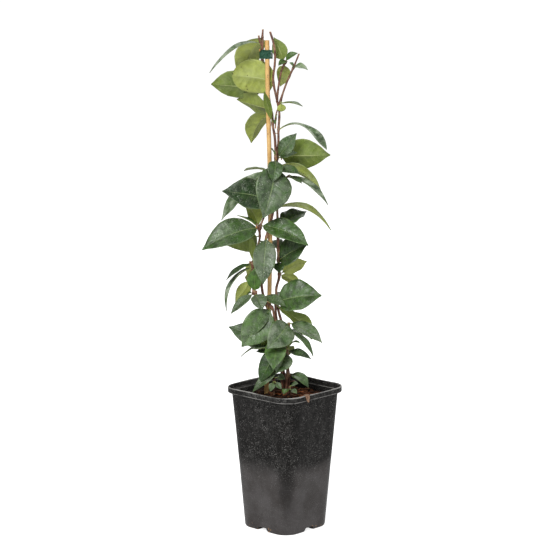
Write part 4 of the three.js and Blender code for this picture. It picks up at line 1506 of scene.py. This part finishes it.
@dataclass
class SquareLoft:
    """A shell through rounded squares, one for each level, bridged in order."""

    corner_steps: int = 9
    side_cuts: int = 9

    def build(self, name: str, levels: Sequence[Level]) -> Piece:
        """Lofts the shell and caps both its ends.

        Args:
            name: the piece's name.
            levels: the profile, from one end to the other.

        Returns:
            The shell.
        """
        shell = join(name, [self._ring(level, number) for number, level in enumerate(levels)])
        with editing():
            for first in range(len(levels) - 1):
                self._pick(shell, (first, first + 1))
                bpy.ops.mesh.bridge_edge_loops()
            for end in (0, len(levels) - 1):
                self._pick(shell, (end,))
                bpy.ops.mesh.edge_face_add()
            face_outwards()
        return shell

    @staticmethod
    def _pick(shell: Piece, numbers: Sequence[int]) -> None:
        """Selects rings, as loops of edges.

        Args:
            shell: all the rings.
            numbers: those to select.
        """
        bpy.ops.mesh.select_mode(type="EDGE")
        work = bmesh.from_edit_mesh(shell.data)
        number = work.verts.layers.int["level"]
        kept = {(choice, choice) for choice in numbers}
        pick_edges(shell, lambda edge: tuple(vertex[number] for vertex in edge.verts) in kept)

    def _ring(self, level: Level, number: int) -> Piece:
        """Models one rounded square as a loop of edges.

        Args:
            level: its height, side and corner.
            number: the number that its vertices carry.

        Returns:
            The ring.
        """
        bpy.ops.mesh.primitive_plane_add(size=level.side * MM, location=(0, 0, level.height * MM))
        ring = bpy.context.object
        settle(ring)
        with editing():
            bpy.ops.mesh.select_all(action="SELECT")
            bpy.ops.mesh.bevel(
                offset=level.corner * MM, segments=self.corner_steps, affect="VERTICES", profile=0.5,
            )
            bpy.ops.mesh.delete(type="ONLY_FACE")
            bpy.ops.mesh.select_mode(type="EDGE")
            pick_edges(ring, lambda edge: edge.calc_length() > 0.4 * level.side * MM)
            bpy.ops.mesh.subdivide(number_cuts=self.side_cuts)
        numbers = ring.data.attributes.new("level", "INT", "POINT")
        numbers.data.foreach_set("value", [number] * len(ring.data.vertices))
        return ring


@dataclass
class NurseryPot:
    """The square pot: a tapering wall, a turned-out lip, notches and drain holes."""

    height: float = 195.0
    wall: float = 1.6
    floor: float = 8.0
    rim_side: float = 124.4
    rim_corner: float = 25.5
    body_side: float = 115.6
    body_corner: float = 23.5
    lip: float = 8.0
    high_wall: Level = Level(140, 109.1, 23.8)
    break_height: float = 92.0
    break_side: float = 102.8
    break_corner: float = 24.0
    low_wall: Level = Level(45, 96.2, 23)
    foot_side: float = 90.2
    foot_corner: float = 22.0
    floor_side: float = 91.2
    notch_width: float = 22.0
    notch_height: float = 5.5
    notch_inner: float = 17.0
    notch_narrowing: float = 0.64
    drain_radius: float = 4.0
    drain_reach: float = 29.0
    wall_dent: float = 0.22
    rim_dent: float = 0.6
    rim_sag: float = 0.35

    def profile(self) -> list[Level]:
        """Lists the levels of the pot's profile.

        Returns:
            The levels up the outside and down the inside.
        """
        lip = self.height - self.lip
        inside = lip + self.wall
        twice = 2 * self.wall
        outer = [
            Level(0, self.foot_side - 6, self.foot_corner - 3),
            Level(0.35, self.foot_side - 3.2, self.foot_corner - 1.6),
            Level(1.2, self.foot_side - 1.2, self.foot_corner - 0.5),
            Level(3, self.foot_side, self.foot_corner),
            self.low_wall,
            Level(self.break_height - 1.5, self.break_side - 0.25, self.break_corner),
            Level(self.break_height + 1.5, self.break_side + 0.35, self.break_corner),
            self.high_wall,
            Level(lip - 0.9, self.body_side - 0.2, self.body_corner),
            Level(lip - 0.2, self.body_side + 0.8, self.body_corner),
            Level(lip, self.rim_side - 1.6, self.rim_corner - 0.7),
            Level(lip + 0.3, self.rim_side - 0.5, self.rim_corner - 0.2),
            Level(lip + 1, self.rim_side, self.rim_corner),
            Level(self.height - 1, self.rim_side, self.rim_corner),
            Level(self.height - 0.2, self.rim_side - 0.5, self.rim_corner - 0.2),
            Level(self.height, self.rim_side - 1.2, self.rim_corner - 0.5),
        ]
        inner = [
            Level(self.height, self.rim_side - twice + 0.7, self.rim_corner - self.wall + 0.3),
            Level(self.height - 0.6, self.rim_side - twice, self.rim_corner - self.wall),
            Level(inside + 0.7, self.rim_side - twice - 0.4, self.rim_corner - self.wall),
            Level(inside, self.body_side - twice + 0.4, self.body_corner - self.wall),
            Level(self.break_height, self.break_side - twice, self.break_corner - self.wall),
            Level(self.floor, self.floor_side - twice, self.foot_corner - self.wall),
        ]
        return outer + inner

    def build(self, finishes: Finishes) -> Piece:
        """Builds the pot.

        Args:
            finishes: the part's materials.

        Returns:
            The pot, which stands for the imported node.
        """
        pot = SquareLoft().build("pot_shell", self.profile())
        self._dent(pot)
        for side in range(4):
            cutter = self._drain(side * FULL_TURN / 4)
            apply(pot, "BOOLEAN", operation="DIFFERENCE", solver="EXACT", object=cutter)
            bpy.data.objects.remove(cutter)
        activate(pot)
        bpy.ops.object.shade_smooth_by_angle(angle=math.radians(32))
        pot.data.materials.clear()
        pot.data.materials.append(finishes.pot)
        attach(pot, "root")
        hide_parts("pot")
        return pot

    def _dent(self, pot: Piece) -> None:
        """Bends the walls a little, and the rim a little more, as on a used pot.

        Args:
            pot: the pot's shell.
        """
        rim_start = self.height - self.lip - 1
        for vertex in pot.data.vertices:
            x, y, z = vertex.co / MM
            if z < self.floor + 1:
                continue
            around = math.atan2(y, x)
            depth = self.wall_dent if z < rim_start else self.rim_dent
            share = min(1.0, (z - self.floor) / 60) * depth
            bend = share * (math.sin(3 * around + 0.02 * z + 0.7) + 0.5 * math.sin(7 * around + 2.0))
            vertex.co.x -= math.cos(around) * (bend + share) * 0.5 * MM
            vertex.co.y -= math.sin(around) * (bend + share) * 0.5 * MM
            if z > rim_start:
                sag = self.rim_sag * (1 + math.sin(5 * around + 1.1))
                vertex.co.z -= sag * MM * (z - rim_start) / (self.height - rim_start)

    def _drain(self, turn: float) -> Piece:
        """Models what is cut out under one side: a channel and the hole above it.

        Args:
            turn: where it lies, about Z.

        Returns:
            The cutter.
        """
        length = self.foot_side / 2 - self.notch_inner + 6
        middle = self.notch_inner + length / 2
        level = (self.notch_height - 1) / 2
        bpy.ops.mesh.primitive_cube_add(size=1, location=(0, middle * MM, level * MM))
        channel = bpy.context.object
        channel.scale = (self.notch_width * MM, length * MM, (self.notch_height + 1) * MM)
        settle(channel)
        with editing():
            pick_vertices(channel, lambda place: place.z > 0)
            bpy.ops.transform.resize(
                value=(self.notch_narrowing, 1, 1), center_override=(0, middle * MM, 0),
            )
        bpy.ops.mesh.primitive_cylinder_add(
            vertices=24, radius=self.drain_radius * MM, depth=2 * self.floor * MM,
            location=(0, self.drain_reach * MM, self.floor * MM),
        )
        hole = bpy.context.object
        settle(hole)
        apply(channel, "BOOLEAN", operation="UNION", solver="EXACT", object=hole)
        bpy.data.objects.remove(hole)
        channel.data.transform(Matrix.Rotation(turn, 4, "Z"))
        return channel


@dataclass
class Compost:
    """The compost in the pot, with bark chips, crumbs and coir fibres on it.

    Chips lie up to chip_spread from the middle each way, less the corners: past corner_start both
    ways they lie within corner_reach of that point.
    """

    seed: int = 11
    chip_count: int = 300
    chip_spread: float = 50.0
    corner_start: float = 29.0
    corner_reach: float = 21.0
    pale_chip: Point = (-30.5, -41, 184.6)
    pale_tone: Point = (1.3, 1.15, 1.05)
    fibre_count: int = 90
    fibre_steps: int = 6
    fibre_step: float = 2.2
    fibre_radius: float = 0.16
    fibre_spread: float = 44.0
    fibre_tone: Point = (0.3, 0.24, 0.18)
    foot: Level = Level(8.4, 87.3, 20.1)
    waist: Level = Level(92, 99.0, 22.1)
    edge_side: float = 111.0
    edge_corner: float = 21.5
    draw: random.Random = field(init=False)

    def __post_init__(self) -> None:
        """Seeds the draws."""
        self.draw = random.Random(self.seed)

    def build(self, finishes: Finishes) -> Piece:
        """Builds the compost.

        Args:
            finishes: the part's materials.

        Returns:
            The compost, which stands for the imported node.
        """
        body = self._bed()
        body.data.materials.clear()
        body.data.materials.append(finishes.compost)
        chips = self._chips(finishes)
        fibres = self._fibres(finishes)
        compost = join("compost_bed", [body, *chips, fibres])
        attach(compost, "root")
        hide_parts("compost")
        return compost

    def _bed(self) -> Piece:
        """Models the bed, its top heaped and rough.

        Returns:
            The bed without what lies on it.
        """
        levels = [self.foot, self.waist, Level(SOIL_EDGE - 3, self.edge_side - 0.6, self.edge_corner)]
        for share in (1, *(0.93 - 0.09 * step for step in range(10))):
            levels.append(Level(SOIL_EDGE, self.edge_side * share, self.edge_corner * share))
        bed = SquareLoft(corner_steps=6).build("bed", levels)
        under_top = SOIL_EDGE - 0.5
        with editing():
            pick_faces(bed, lambda middle, normal: middle.z > under_top * MM)
            bpy.ops.mesh.subdivide(number_cuts=2)
        for vertex in bed.data.vertices:
            x, y, z = vertex.co / MM
            if z > under_top:
                lumps = 0.9 * math.sin(x * 1.9 + y) * math.cos(y * 2.3 - 0.7 * x)
                vertex.co.z = (soil_height(x, y) + lumps + self.draw.uniform(-0.5, 0.5) - 0.6) * MM
        return bed

    @staticmethod
    def _tone(mesh: bpy.types.Mesh, values: Point) -> None:
        """Gives every point of a mesh one chip tone."""
        tones = mesh.attributes.new("chip_tone", "FLOAT_COLOR", "POINT")
        tones.data.foreach_set("color", [*values, 1.0] * len(mesh.vertices))

    def _master(self, name: str, size: Point) -> Piece:
        """Models one chip: a flat, broken lump.

        Args:
            name: the chip's name.
            size: its three sizes in millimetres.

        Returns:
            The master chip.
        """
        bpy.ops.mesh.primitive_cube_add(size=MM)
        chip = bpy.context.object
        chip.name = name
        chip.scale = size
        settle(chip)
        with editing():
            bpy.ops.mesh.select_all(action="SELECT")
            bpy.ops.mesh.subdivide(number_cuts=1, fractal=1.6 * MM, seed=len(name))
        for vertex in chip.data.vertices:
            vertex.co *= self.draw.uniform(0.72, 1.1)
        return chip

    def _chips(self, finishes: Finishes) -> list[Piece]:
        """Scatters copies of the chips over the bed.

        Args:
            finishes: the part's materials.

        Returns:
            The chips, each with its own tone.
        """
        masters = [
            self._master("chip_flat", (9, 5, 1.6)),
            self._master("chip_long", (13, 3.2, 1.5)),
            self._master("chip_lump", (4.4, 3.6, 2.6)),
            self._master("chip_crumb", (2.4, 2.0, 1.6)),
        ]
        for master in masters:
            master.data.materials.append(finishes.chips)
        copies = []
        for _ in range(self.chip_count):
            master = self.draw.choices(masters, weights=(3, 2, 4, 6))[0]
            x, y = (self.draw.uniform(-self.chip_spread, self.chip_spread) for _ in range(2))
            if math.hypot(*(max(abs(off) - self.corner_start, 0) for off in (x, y))) > self.corner_reach:
                continue
            grow = self.draw.uniform(0.6, 1.25)
            place = Matrix.Translation(Vector((x, y, soil_height(x, y) + 0.7)) * MM)
            place @= Matrix.Rotation(self.draw.uniform(0, 6.28), 4, "Z")
            place @= Matrix.Rotation(self.draw.gauss(0, 0.25), 4, "X")
            place @= Matrix.Rotation(self.draw.gauss(0, 0.2), 4, "Y")
            copies.append(copy_of(master, place @ Matrix.Scale(grow, 4)))
            # Each chip's lightness is drawn at random, then darkened by painted shade near the walls.
            light = self.draw.choice((0.1, 0.16, 0.26, 0.5, 0.9)) * self._painted_wall_shade(x, y)
            tone = light, light * self.draw.uniform(0.8, 0.95), light * self.draw.uniform(0.65, 0.95)
            self._tone(copies[-1].data, tone)
        pale = Matrix.Translation(Vector(self.pale_chip) * MM) @ Matrix.Rotation(0.5, 4, "Z")
        copies.append(copy_of(masters[0], pale @ Matrix.Rotation(0.5, 4, "X") @ Matrix.Scale(1.2, 4)))
        self._tone(copies[-1].data, self.pale_tone)
        for master in masters:
            bpy.data.objects.remove(master)
        return copies

    @staticmethod
    def _painted_wall_shade(x: float, y: float) -> float:
        """Works out the painted shade on the chips: darker to the left and along the walls.

        Args:
            x: the place across, in millimetres.
            y: the place in depth.

        Returns:
            The share of a chip's tone that the painted shade leaves.
        """
        across = math.cos(PLANT_TURN) * x + math.sin(PLANT_TURN) * y
        # Painted shade: towards the viewer's left, and from 38 mm out towards the walls.
        left_shade, edge = np.clip(((-8 - across) / 22, (max(abs(x), abs(y)) - 38) / 14), 0, 1)
        return (1 - 0.8 * left_shade) * (1 - 0.6 * edge)

    def _fibres(self, finishes: Finishes) -> Piece:
        """Lays loose coir fibres on the bed.

        Args:
            finishes: the part's materials.

        Returns:
            The fibres as one piece.
        """
        pieces = []
        for number in range(self.fibre_count):
            x, y = (self.draw.uniform(-self.fibre_spread, self.fibre_spread) for _ in range(2))
            heading = self.draw.uniform(0, 6.28)
            path = []
            for step in range(self.fibre_steps):
                path.append((x, y, soil_height(x, y) + 1.3 + 0.7 * math.sin(step + number)))
                heading += self.draw.uniform(-0.6, 0.6)
                x += self.fibre_step * math.cos(heading)
                y += self.fibre_step * math.sin(heading)
            if max(abs(x), abs(y)) < self.chip_spread:
                radii = [self.fibre_radius] * self.fibre_steps
                pieces.append(tube("fibre", np.array(path) * MM, radii, 0))
        fibres = join("fibres", pieces)
        fibres.data.materials.append(finishes.chips)
        self._tone(fibres.data, self.fibre_tone)
        return fibres


@dataclass
class BarkStrip:
    """A torn strip of bark that lies over the rim.

    route is how far out from the rim, how high and how wide the strip is at each step.
    """

    middle: float = -26.0
    rim: float = 62.2
    thickness: float = 0.9
    bulge: float = 0.5
    seed: int = 5
    route: tuple[Point, ...] = (
        (-13, 181, 5), (-10, 185.6, 5.4), (-7, 190, 6), (-4.4, 193.2, 6.8), (-2.4, 195.35, 7),
        (0.1, 195.4, 7), (0.55, 193.4, 6.6), (0.6, 191, 6), (0.65, 188.6, 4.2), (0.7, 186, 2.5),
    )

    def build(self, finishes: Finishes) -> Piece:
        """Builds the strip.

        Args:
            finishes: the part's materials.

        Returns:
            The strip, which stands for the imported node.
        """
        steps = len(self.route) - 1
        bpy.ops.mesh.primitive_grid_add(x_subdivisions=4, y_subdivisions=steps, size=1)
        strip = bpy.context.object
        draw = random.Random(self.seed)
        for vertex in strip.data.vertices:
            step = round((vertex.co.y + 0.5) * steps)
            reach, height, width = self.route[step]
            ragged = draw.uniform(-0.5, 0.5) if abs(vertex.co.x) > 0.4 else 0
            lift = self.bulge * (1 - (2 * vertex.co.x) ** 2) * (0.4 if step in (4, 5) else 1)
            across = self.middle + 0.4 * step - vertex.co.x * width + ragged
            vertex.co = (self.rim + reach + lift * (step > 4), across, height + lift * (step <= 5))
            vertex.co *= MM
        apply(strip, "SOLIDIFY", thickness=self.thickness * MM, offset=1.0)
        with editing():
            face_outwards()
        strip.name = strip.data.name = "torn_bark_strip"
        strip.data.materials.append(finishes.strip)
        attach(strip, "root")
        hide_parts("bark_strip")
        return strip


# Cane, tie and staple


@dataclass
class Cane:
    """The bamboo cane, with a ring at each of its nodes and its hollow cut top."""

    radius: float = 3.1
    wall: float = 1.3
    line: tuple[Point, ...] = (
        (-26, 72, 4), (-25, 192, 4), (-23, 261, 4), (-21, 330, 4),
        (-20, 433, 4), (-21, 512, 4), (-23, 585, 4), (-24, 664, 4),
    )
    spacing: float = 1.6
    nodes: tuple[float, ...] = (240.0, 396.0, 552.0, 655.5)
    ridge: float = 0.34
    groove: float = 0.3
    hollow: float = 5.0

    def build(self, finishes: Finishes) -> Piece:
        """Builds the cane.

        Args:
            finishes: the part's materials.

        Returns:
            The cane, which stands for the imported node.
        """
        path = smooth_path(list(map(seen, self.line)), self.spacing)
        radii = np.full(len(path), self.radius * 0.97)
        for node in self.nodes:
            off = path[:, 2] - node
            radii += self.ridge * np.exp(-((off / 2.6) ** 2))
            radii -= self.groove * np.exp(-(((off - 1.6) / 0.9) ** 2))
        cane = tube("bamboo_cane", into_pot(path), radii, 6)
        top = into_pot(path)[-1][2]
        with editing():
            pick_faces(cane, lambda middle, normal: normal.z > 0.9 and middle.z > top - MM)
            bpy.ops.mesh.inset(thickness=self.wall * MM)
            bpy.ops.mesh.extrude_region_move(TRANSFORM_OT_translate={"value": (0, 0, -self.hollow * MM)})
        bpy.ops.object.shade_smooth_by_angle(angle=math.radians(40))
        cane.data.materials.append(finishes.cane)
        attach(cane, "root")
        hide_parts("cane")
        return cane


@dataclass
class Tie:
    """The tape belted round the cane and the left stem, and the staple that closes it.

    cane and stem are the x, the y and the radius that the tape bends round.
    """

    bottom: float = 639.6
    height: float = 11.5
    strips: int = 4
    thickness: float = 0.35
    cane: Point = (-24.0, 4.0, 3.9)
    stem: Point = (-30.8, 4.3, 3.2)
    tail_end: float = -16.9
    staple: float = -18.6
    wire_radius: float = 0.32

    def build(self, finishes: Finishes) -> list[Piece]:
        """Builds the tie and its staple.

        Args:
            finishes: the part's materials.

        Returns:
            The tape and the staple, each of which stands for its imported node.
        """
        tape = self._tape()
        tape.data.materials.append(finishes.tape)
        wire = self._staple()
        wire.data.materials.append(finishes.wire)
        for piece, node in ((tape, "tie"), (wire, "staple")):
            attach(piece, "root")
            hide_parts(node)
        return [tape, wire]

    def _outline(self) -> list[tuple[float, float]]:
        """Finds the line that the tape follows.

        Returns:
            Its x and y, from the tail round the cane and the stem and back to the tail.
        """
        line = [(self.tail_end, 0.75), (self.staple, 0.8), (-20.2, 0.9)]
        bends = (
            (self.cane, range(-35, 96, 12)),
            (self.stem, range(100, 266, 15)),
            (self.cane, range(-92, -49, 10)),
        )
        for (x, y, radius), degrees in bends:
            for angle in map(math.radians, degrees):
                line.append((x + radius * math.cos(angle), y + radius * math.sin(angle)))
        return [*line, (-20.4, 0.55), (self.staple, 0.2), (self.tail_end + 0.3, 0.15)]

    def _tape(self) -> Piece:
        """Models the tape as an extruded line with thickness.

        Returns:
            The tape.
        """
        outline = self._outline()
        rows = np.array([(x, y, self.bottom) for x, y in outline])
        bpy.ops.mesh.primitive_circle_add(vertices=len(outline), radius=1)
        tape = bpy.context.object
        tape.name = tape.data.name = "tie_tape"
        tape.data.vertices.foreach_set("co", into_pot(rows).ravel())
        ends = {0, len(outline) - 1}
        rise = self.height / self.strips
        with editing():
            bpy.ops.mesh.select_mode(type="EDGE")
            pick_edges(tape, lambda edge: {vertex.index for vertex in edge.verts} == ends)
            bpy.ops.mesh.delete(type="EDGE")
            for step in range(self.strips):
                level = (self.bottom + PLANT_LEVEL + step * rise) * MM
                pick_vertices(tape, lambda place: abs(place.z - level) < 0.1 * MM)
                bpy.ops.mesh.extrude_region_move(TRANSFORM_OT_translate={"value": (0, 0, rise * MM)})
            face_outwards()
        apply(tape, "SOLIDIFY", thickness=self.thickness * MM, offset=0.0)
        bpy.ops.object.shade_smooth_by_angle(angle=math.radians(35))
        return tape

    def _staple(self) -> Piece:
        """Models the staple: a crown in front, two legs, and their ends bent in behind.

        Returns:
            The wire.
        """
        middle = self.bottom + self.height / 2
        upper = [(-0.55, 3.1), (-0.2, 3.4), (1.2, 3.4), (1.9, 3.1), (1.9, 1.2)]
        lower = [(y, -up) for y, up in reversed(upper)]
        rows = [(self.staple, y, middle + up) for y, up in (*lower, (-0.55, 0), *upper)]
        return tube("staple_wire", into_pot(np.array(rows)), [self.wire_radius] * len(rows), 2)


# Studio


@dataclass
class Studio:
    """The floor, the lights and the camera.

    Each lamp has its name, its place in the plant's frame in metres, its side and its power in watts.
    """

    azimuth: float = 43.2216
    pitch: float = 10.35
    distance: float = 3.0
    eye_height: float = 0.8925
    lens: float = 148.1
    sky: float = 0.29
    aim: Point = (0, 0, 0.34)
    floor_side: float = 60.0
    lamps: tuple[tuple[str, Point, float, float], ...] = (
        ("key", (-1.0, -2.5, 2.2), 1.1, 84),
        ("fill", (2.4, -1.2, 1.2), 1.6, 14),
        ("back", (0.8, 2.2, 2.2), 1.6, 22),
    )

    def build(self, finishes: Finishes) -> None:
        """Sets the studio up.

        Args:
            finishes: the part's materials.
        """
        self._floor(finishes)
        self._sky()
        for lamp in self.lamps:
            self._lamp(*lamp)
        self._camera()
        view = bpy.context.scene.view_settings
        view.view_transform = "Standard"
        view.look = "None"

    def _floor(self, finishes: Finishes) -> None:
        """Lays the pale floor.

        Args:
            finishes: the part's materials.
        """
        bpy.ops.mesh.primitive_plane_add(size=self.floor_side)
        floor = bpy.context.object
        floor.name = floor.data.name = "floor"
        floor.data.materials.append(finishes.floor)

    def _sky(self) -> None:
        """Lights everything softly from all round."""
        world = bpy.data.worlds.new("studio")
        bpy.context.scene.world = world
        world.use_nodes = True
        graph = Graph(world.node_tree)
        white = (1.0, 1.0, 1.0, 1.0)
        light = graph.fill(world.node_tree.nodes["Background"], {"Color": white, "Strength": self.sky})
        backdrop = graph.add("Background", {"Color": white, "Strength": 1.0})
        straight = graph.add("LightPath").outputs["Is Camera Ray"]
        chosen = graph.add("MixShader", {0: straight, 1: light.outputs[0], 2: backdrop.outputs[0]})
        graph.fill(world.node_tree.nodes["World Output"], {"Surface": chosen.outputs[0]})

    def _lamp(self, name: str, place: Point, size: float, power: float) -> None:
        """Hangs one soft lamp that looks at the plant.

        Args:
            name: the lamp's name.
            place: where it hangs in the plant's frame, in metres.
            size: the length of its side.
            power: its power in watts.
        """
        lamp = bpy.data.lights.new(name, "AREA")
        lamp.size, lamp.energy = size, power
        holder = link_new(name, lamp)
        holder.location = Matrix.Rotation(PLANT_TURN, 3, "Z") @ Vector(place)
        way = Vector(self.aim) - holder.location
        holder.rotation_euler = way.to_track_quat("-Z", "Y").to_euler()

    def _camera(self) -> None:
        """Places the camera where the photograph was taken from."""
        camera = bpy.data.cameras.new("camera")
        camera.lens = self.lens
        camera.sensor_width = 36
        camera.clip_end = 200
        holder = link_new("camera", camera)
        place = Vector((0, -self.distance, self.eye_height))
        holder.location = Matrix.Rotation(PLANT_TURN, 3, "Z") @ place
        holder.rotation_euler = (math.radians(90 - self.pitch), 0, math.radians(self.azimuth))
        bpy.context.scene.camera = holder


def clean_up() -> None:
    """Removes meshes and curves that nothing uses."""
    for pool in (bpy.data.meshes, bpy.data.curves):
        for block in [block for block in pool if block.users == 0]:
            pool.remove(block)


def main() -> None:
    """Builds the part's look."""
    logging.basicConfig(level=logging.INFO, format="%(name)s: %(message)s")
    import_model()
    finishes = Finishes()
    built: list[Piece] = [
        NurseryPot().build(finishes),
        Compost().build(finishes),
        BarkStrip().build(finishes),
        Cane().build(finishes),
        *Tie().build(finishes),
    ]
    press = LeafPress(finishes)
    for stem in STEMS:
        built += stem.build(press, finishes)
    press.put_away()
    clean_up()
    for piece in built:
        log.info("%s: %d faces", piece.name, len(piece.data.polygons))
    Studio().build(finishes)


if __name__ == "__main__":
    main()
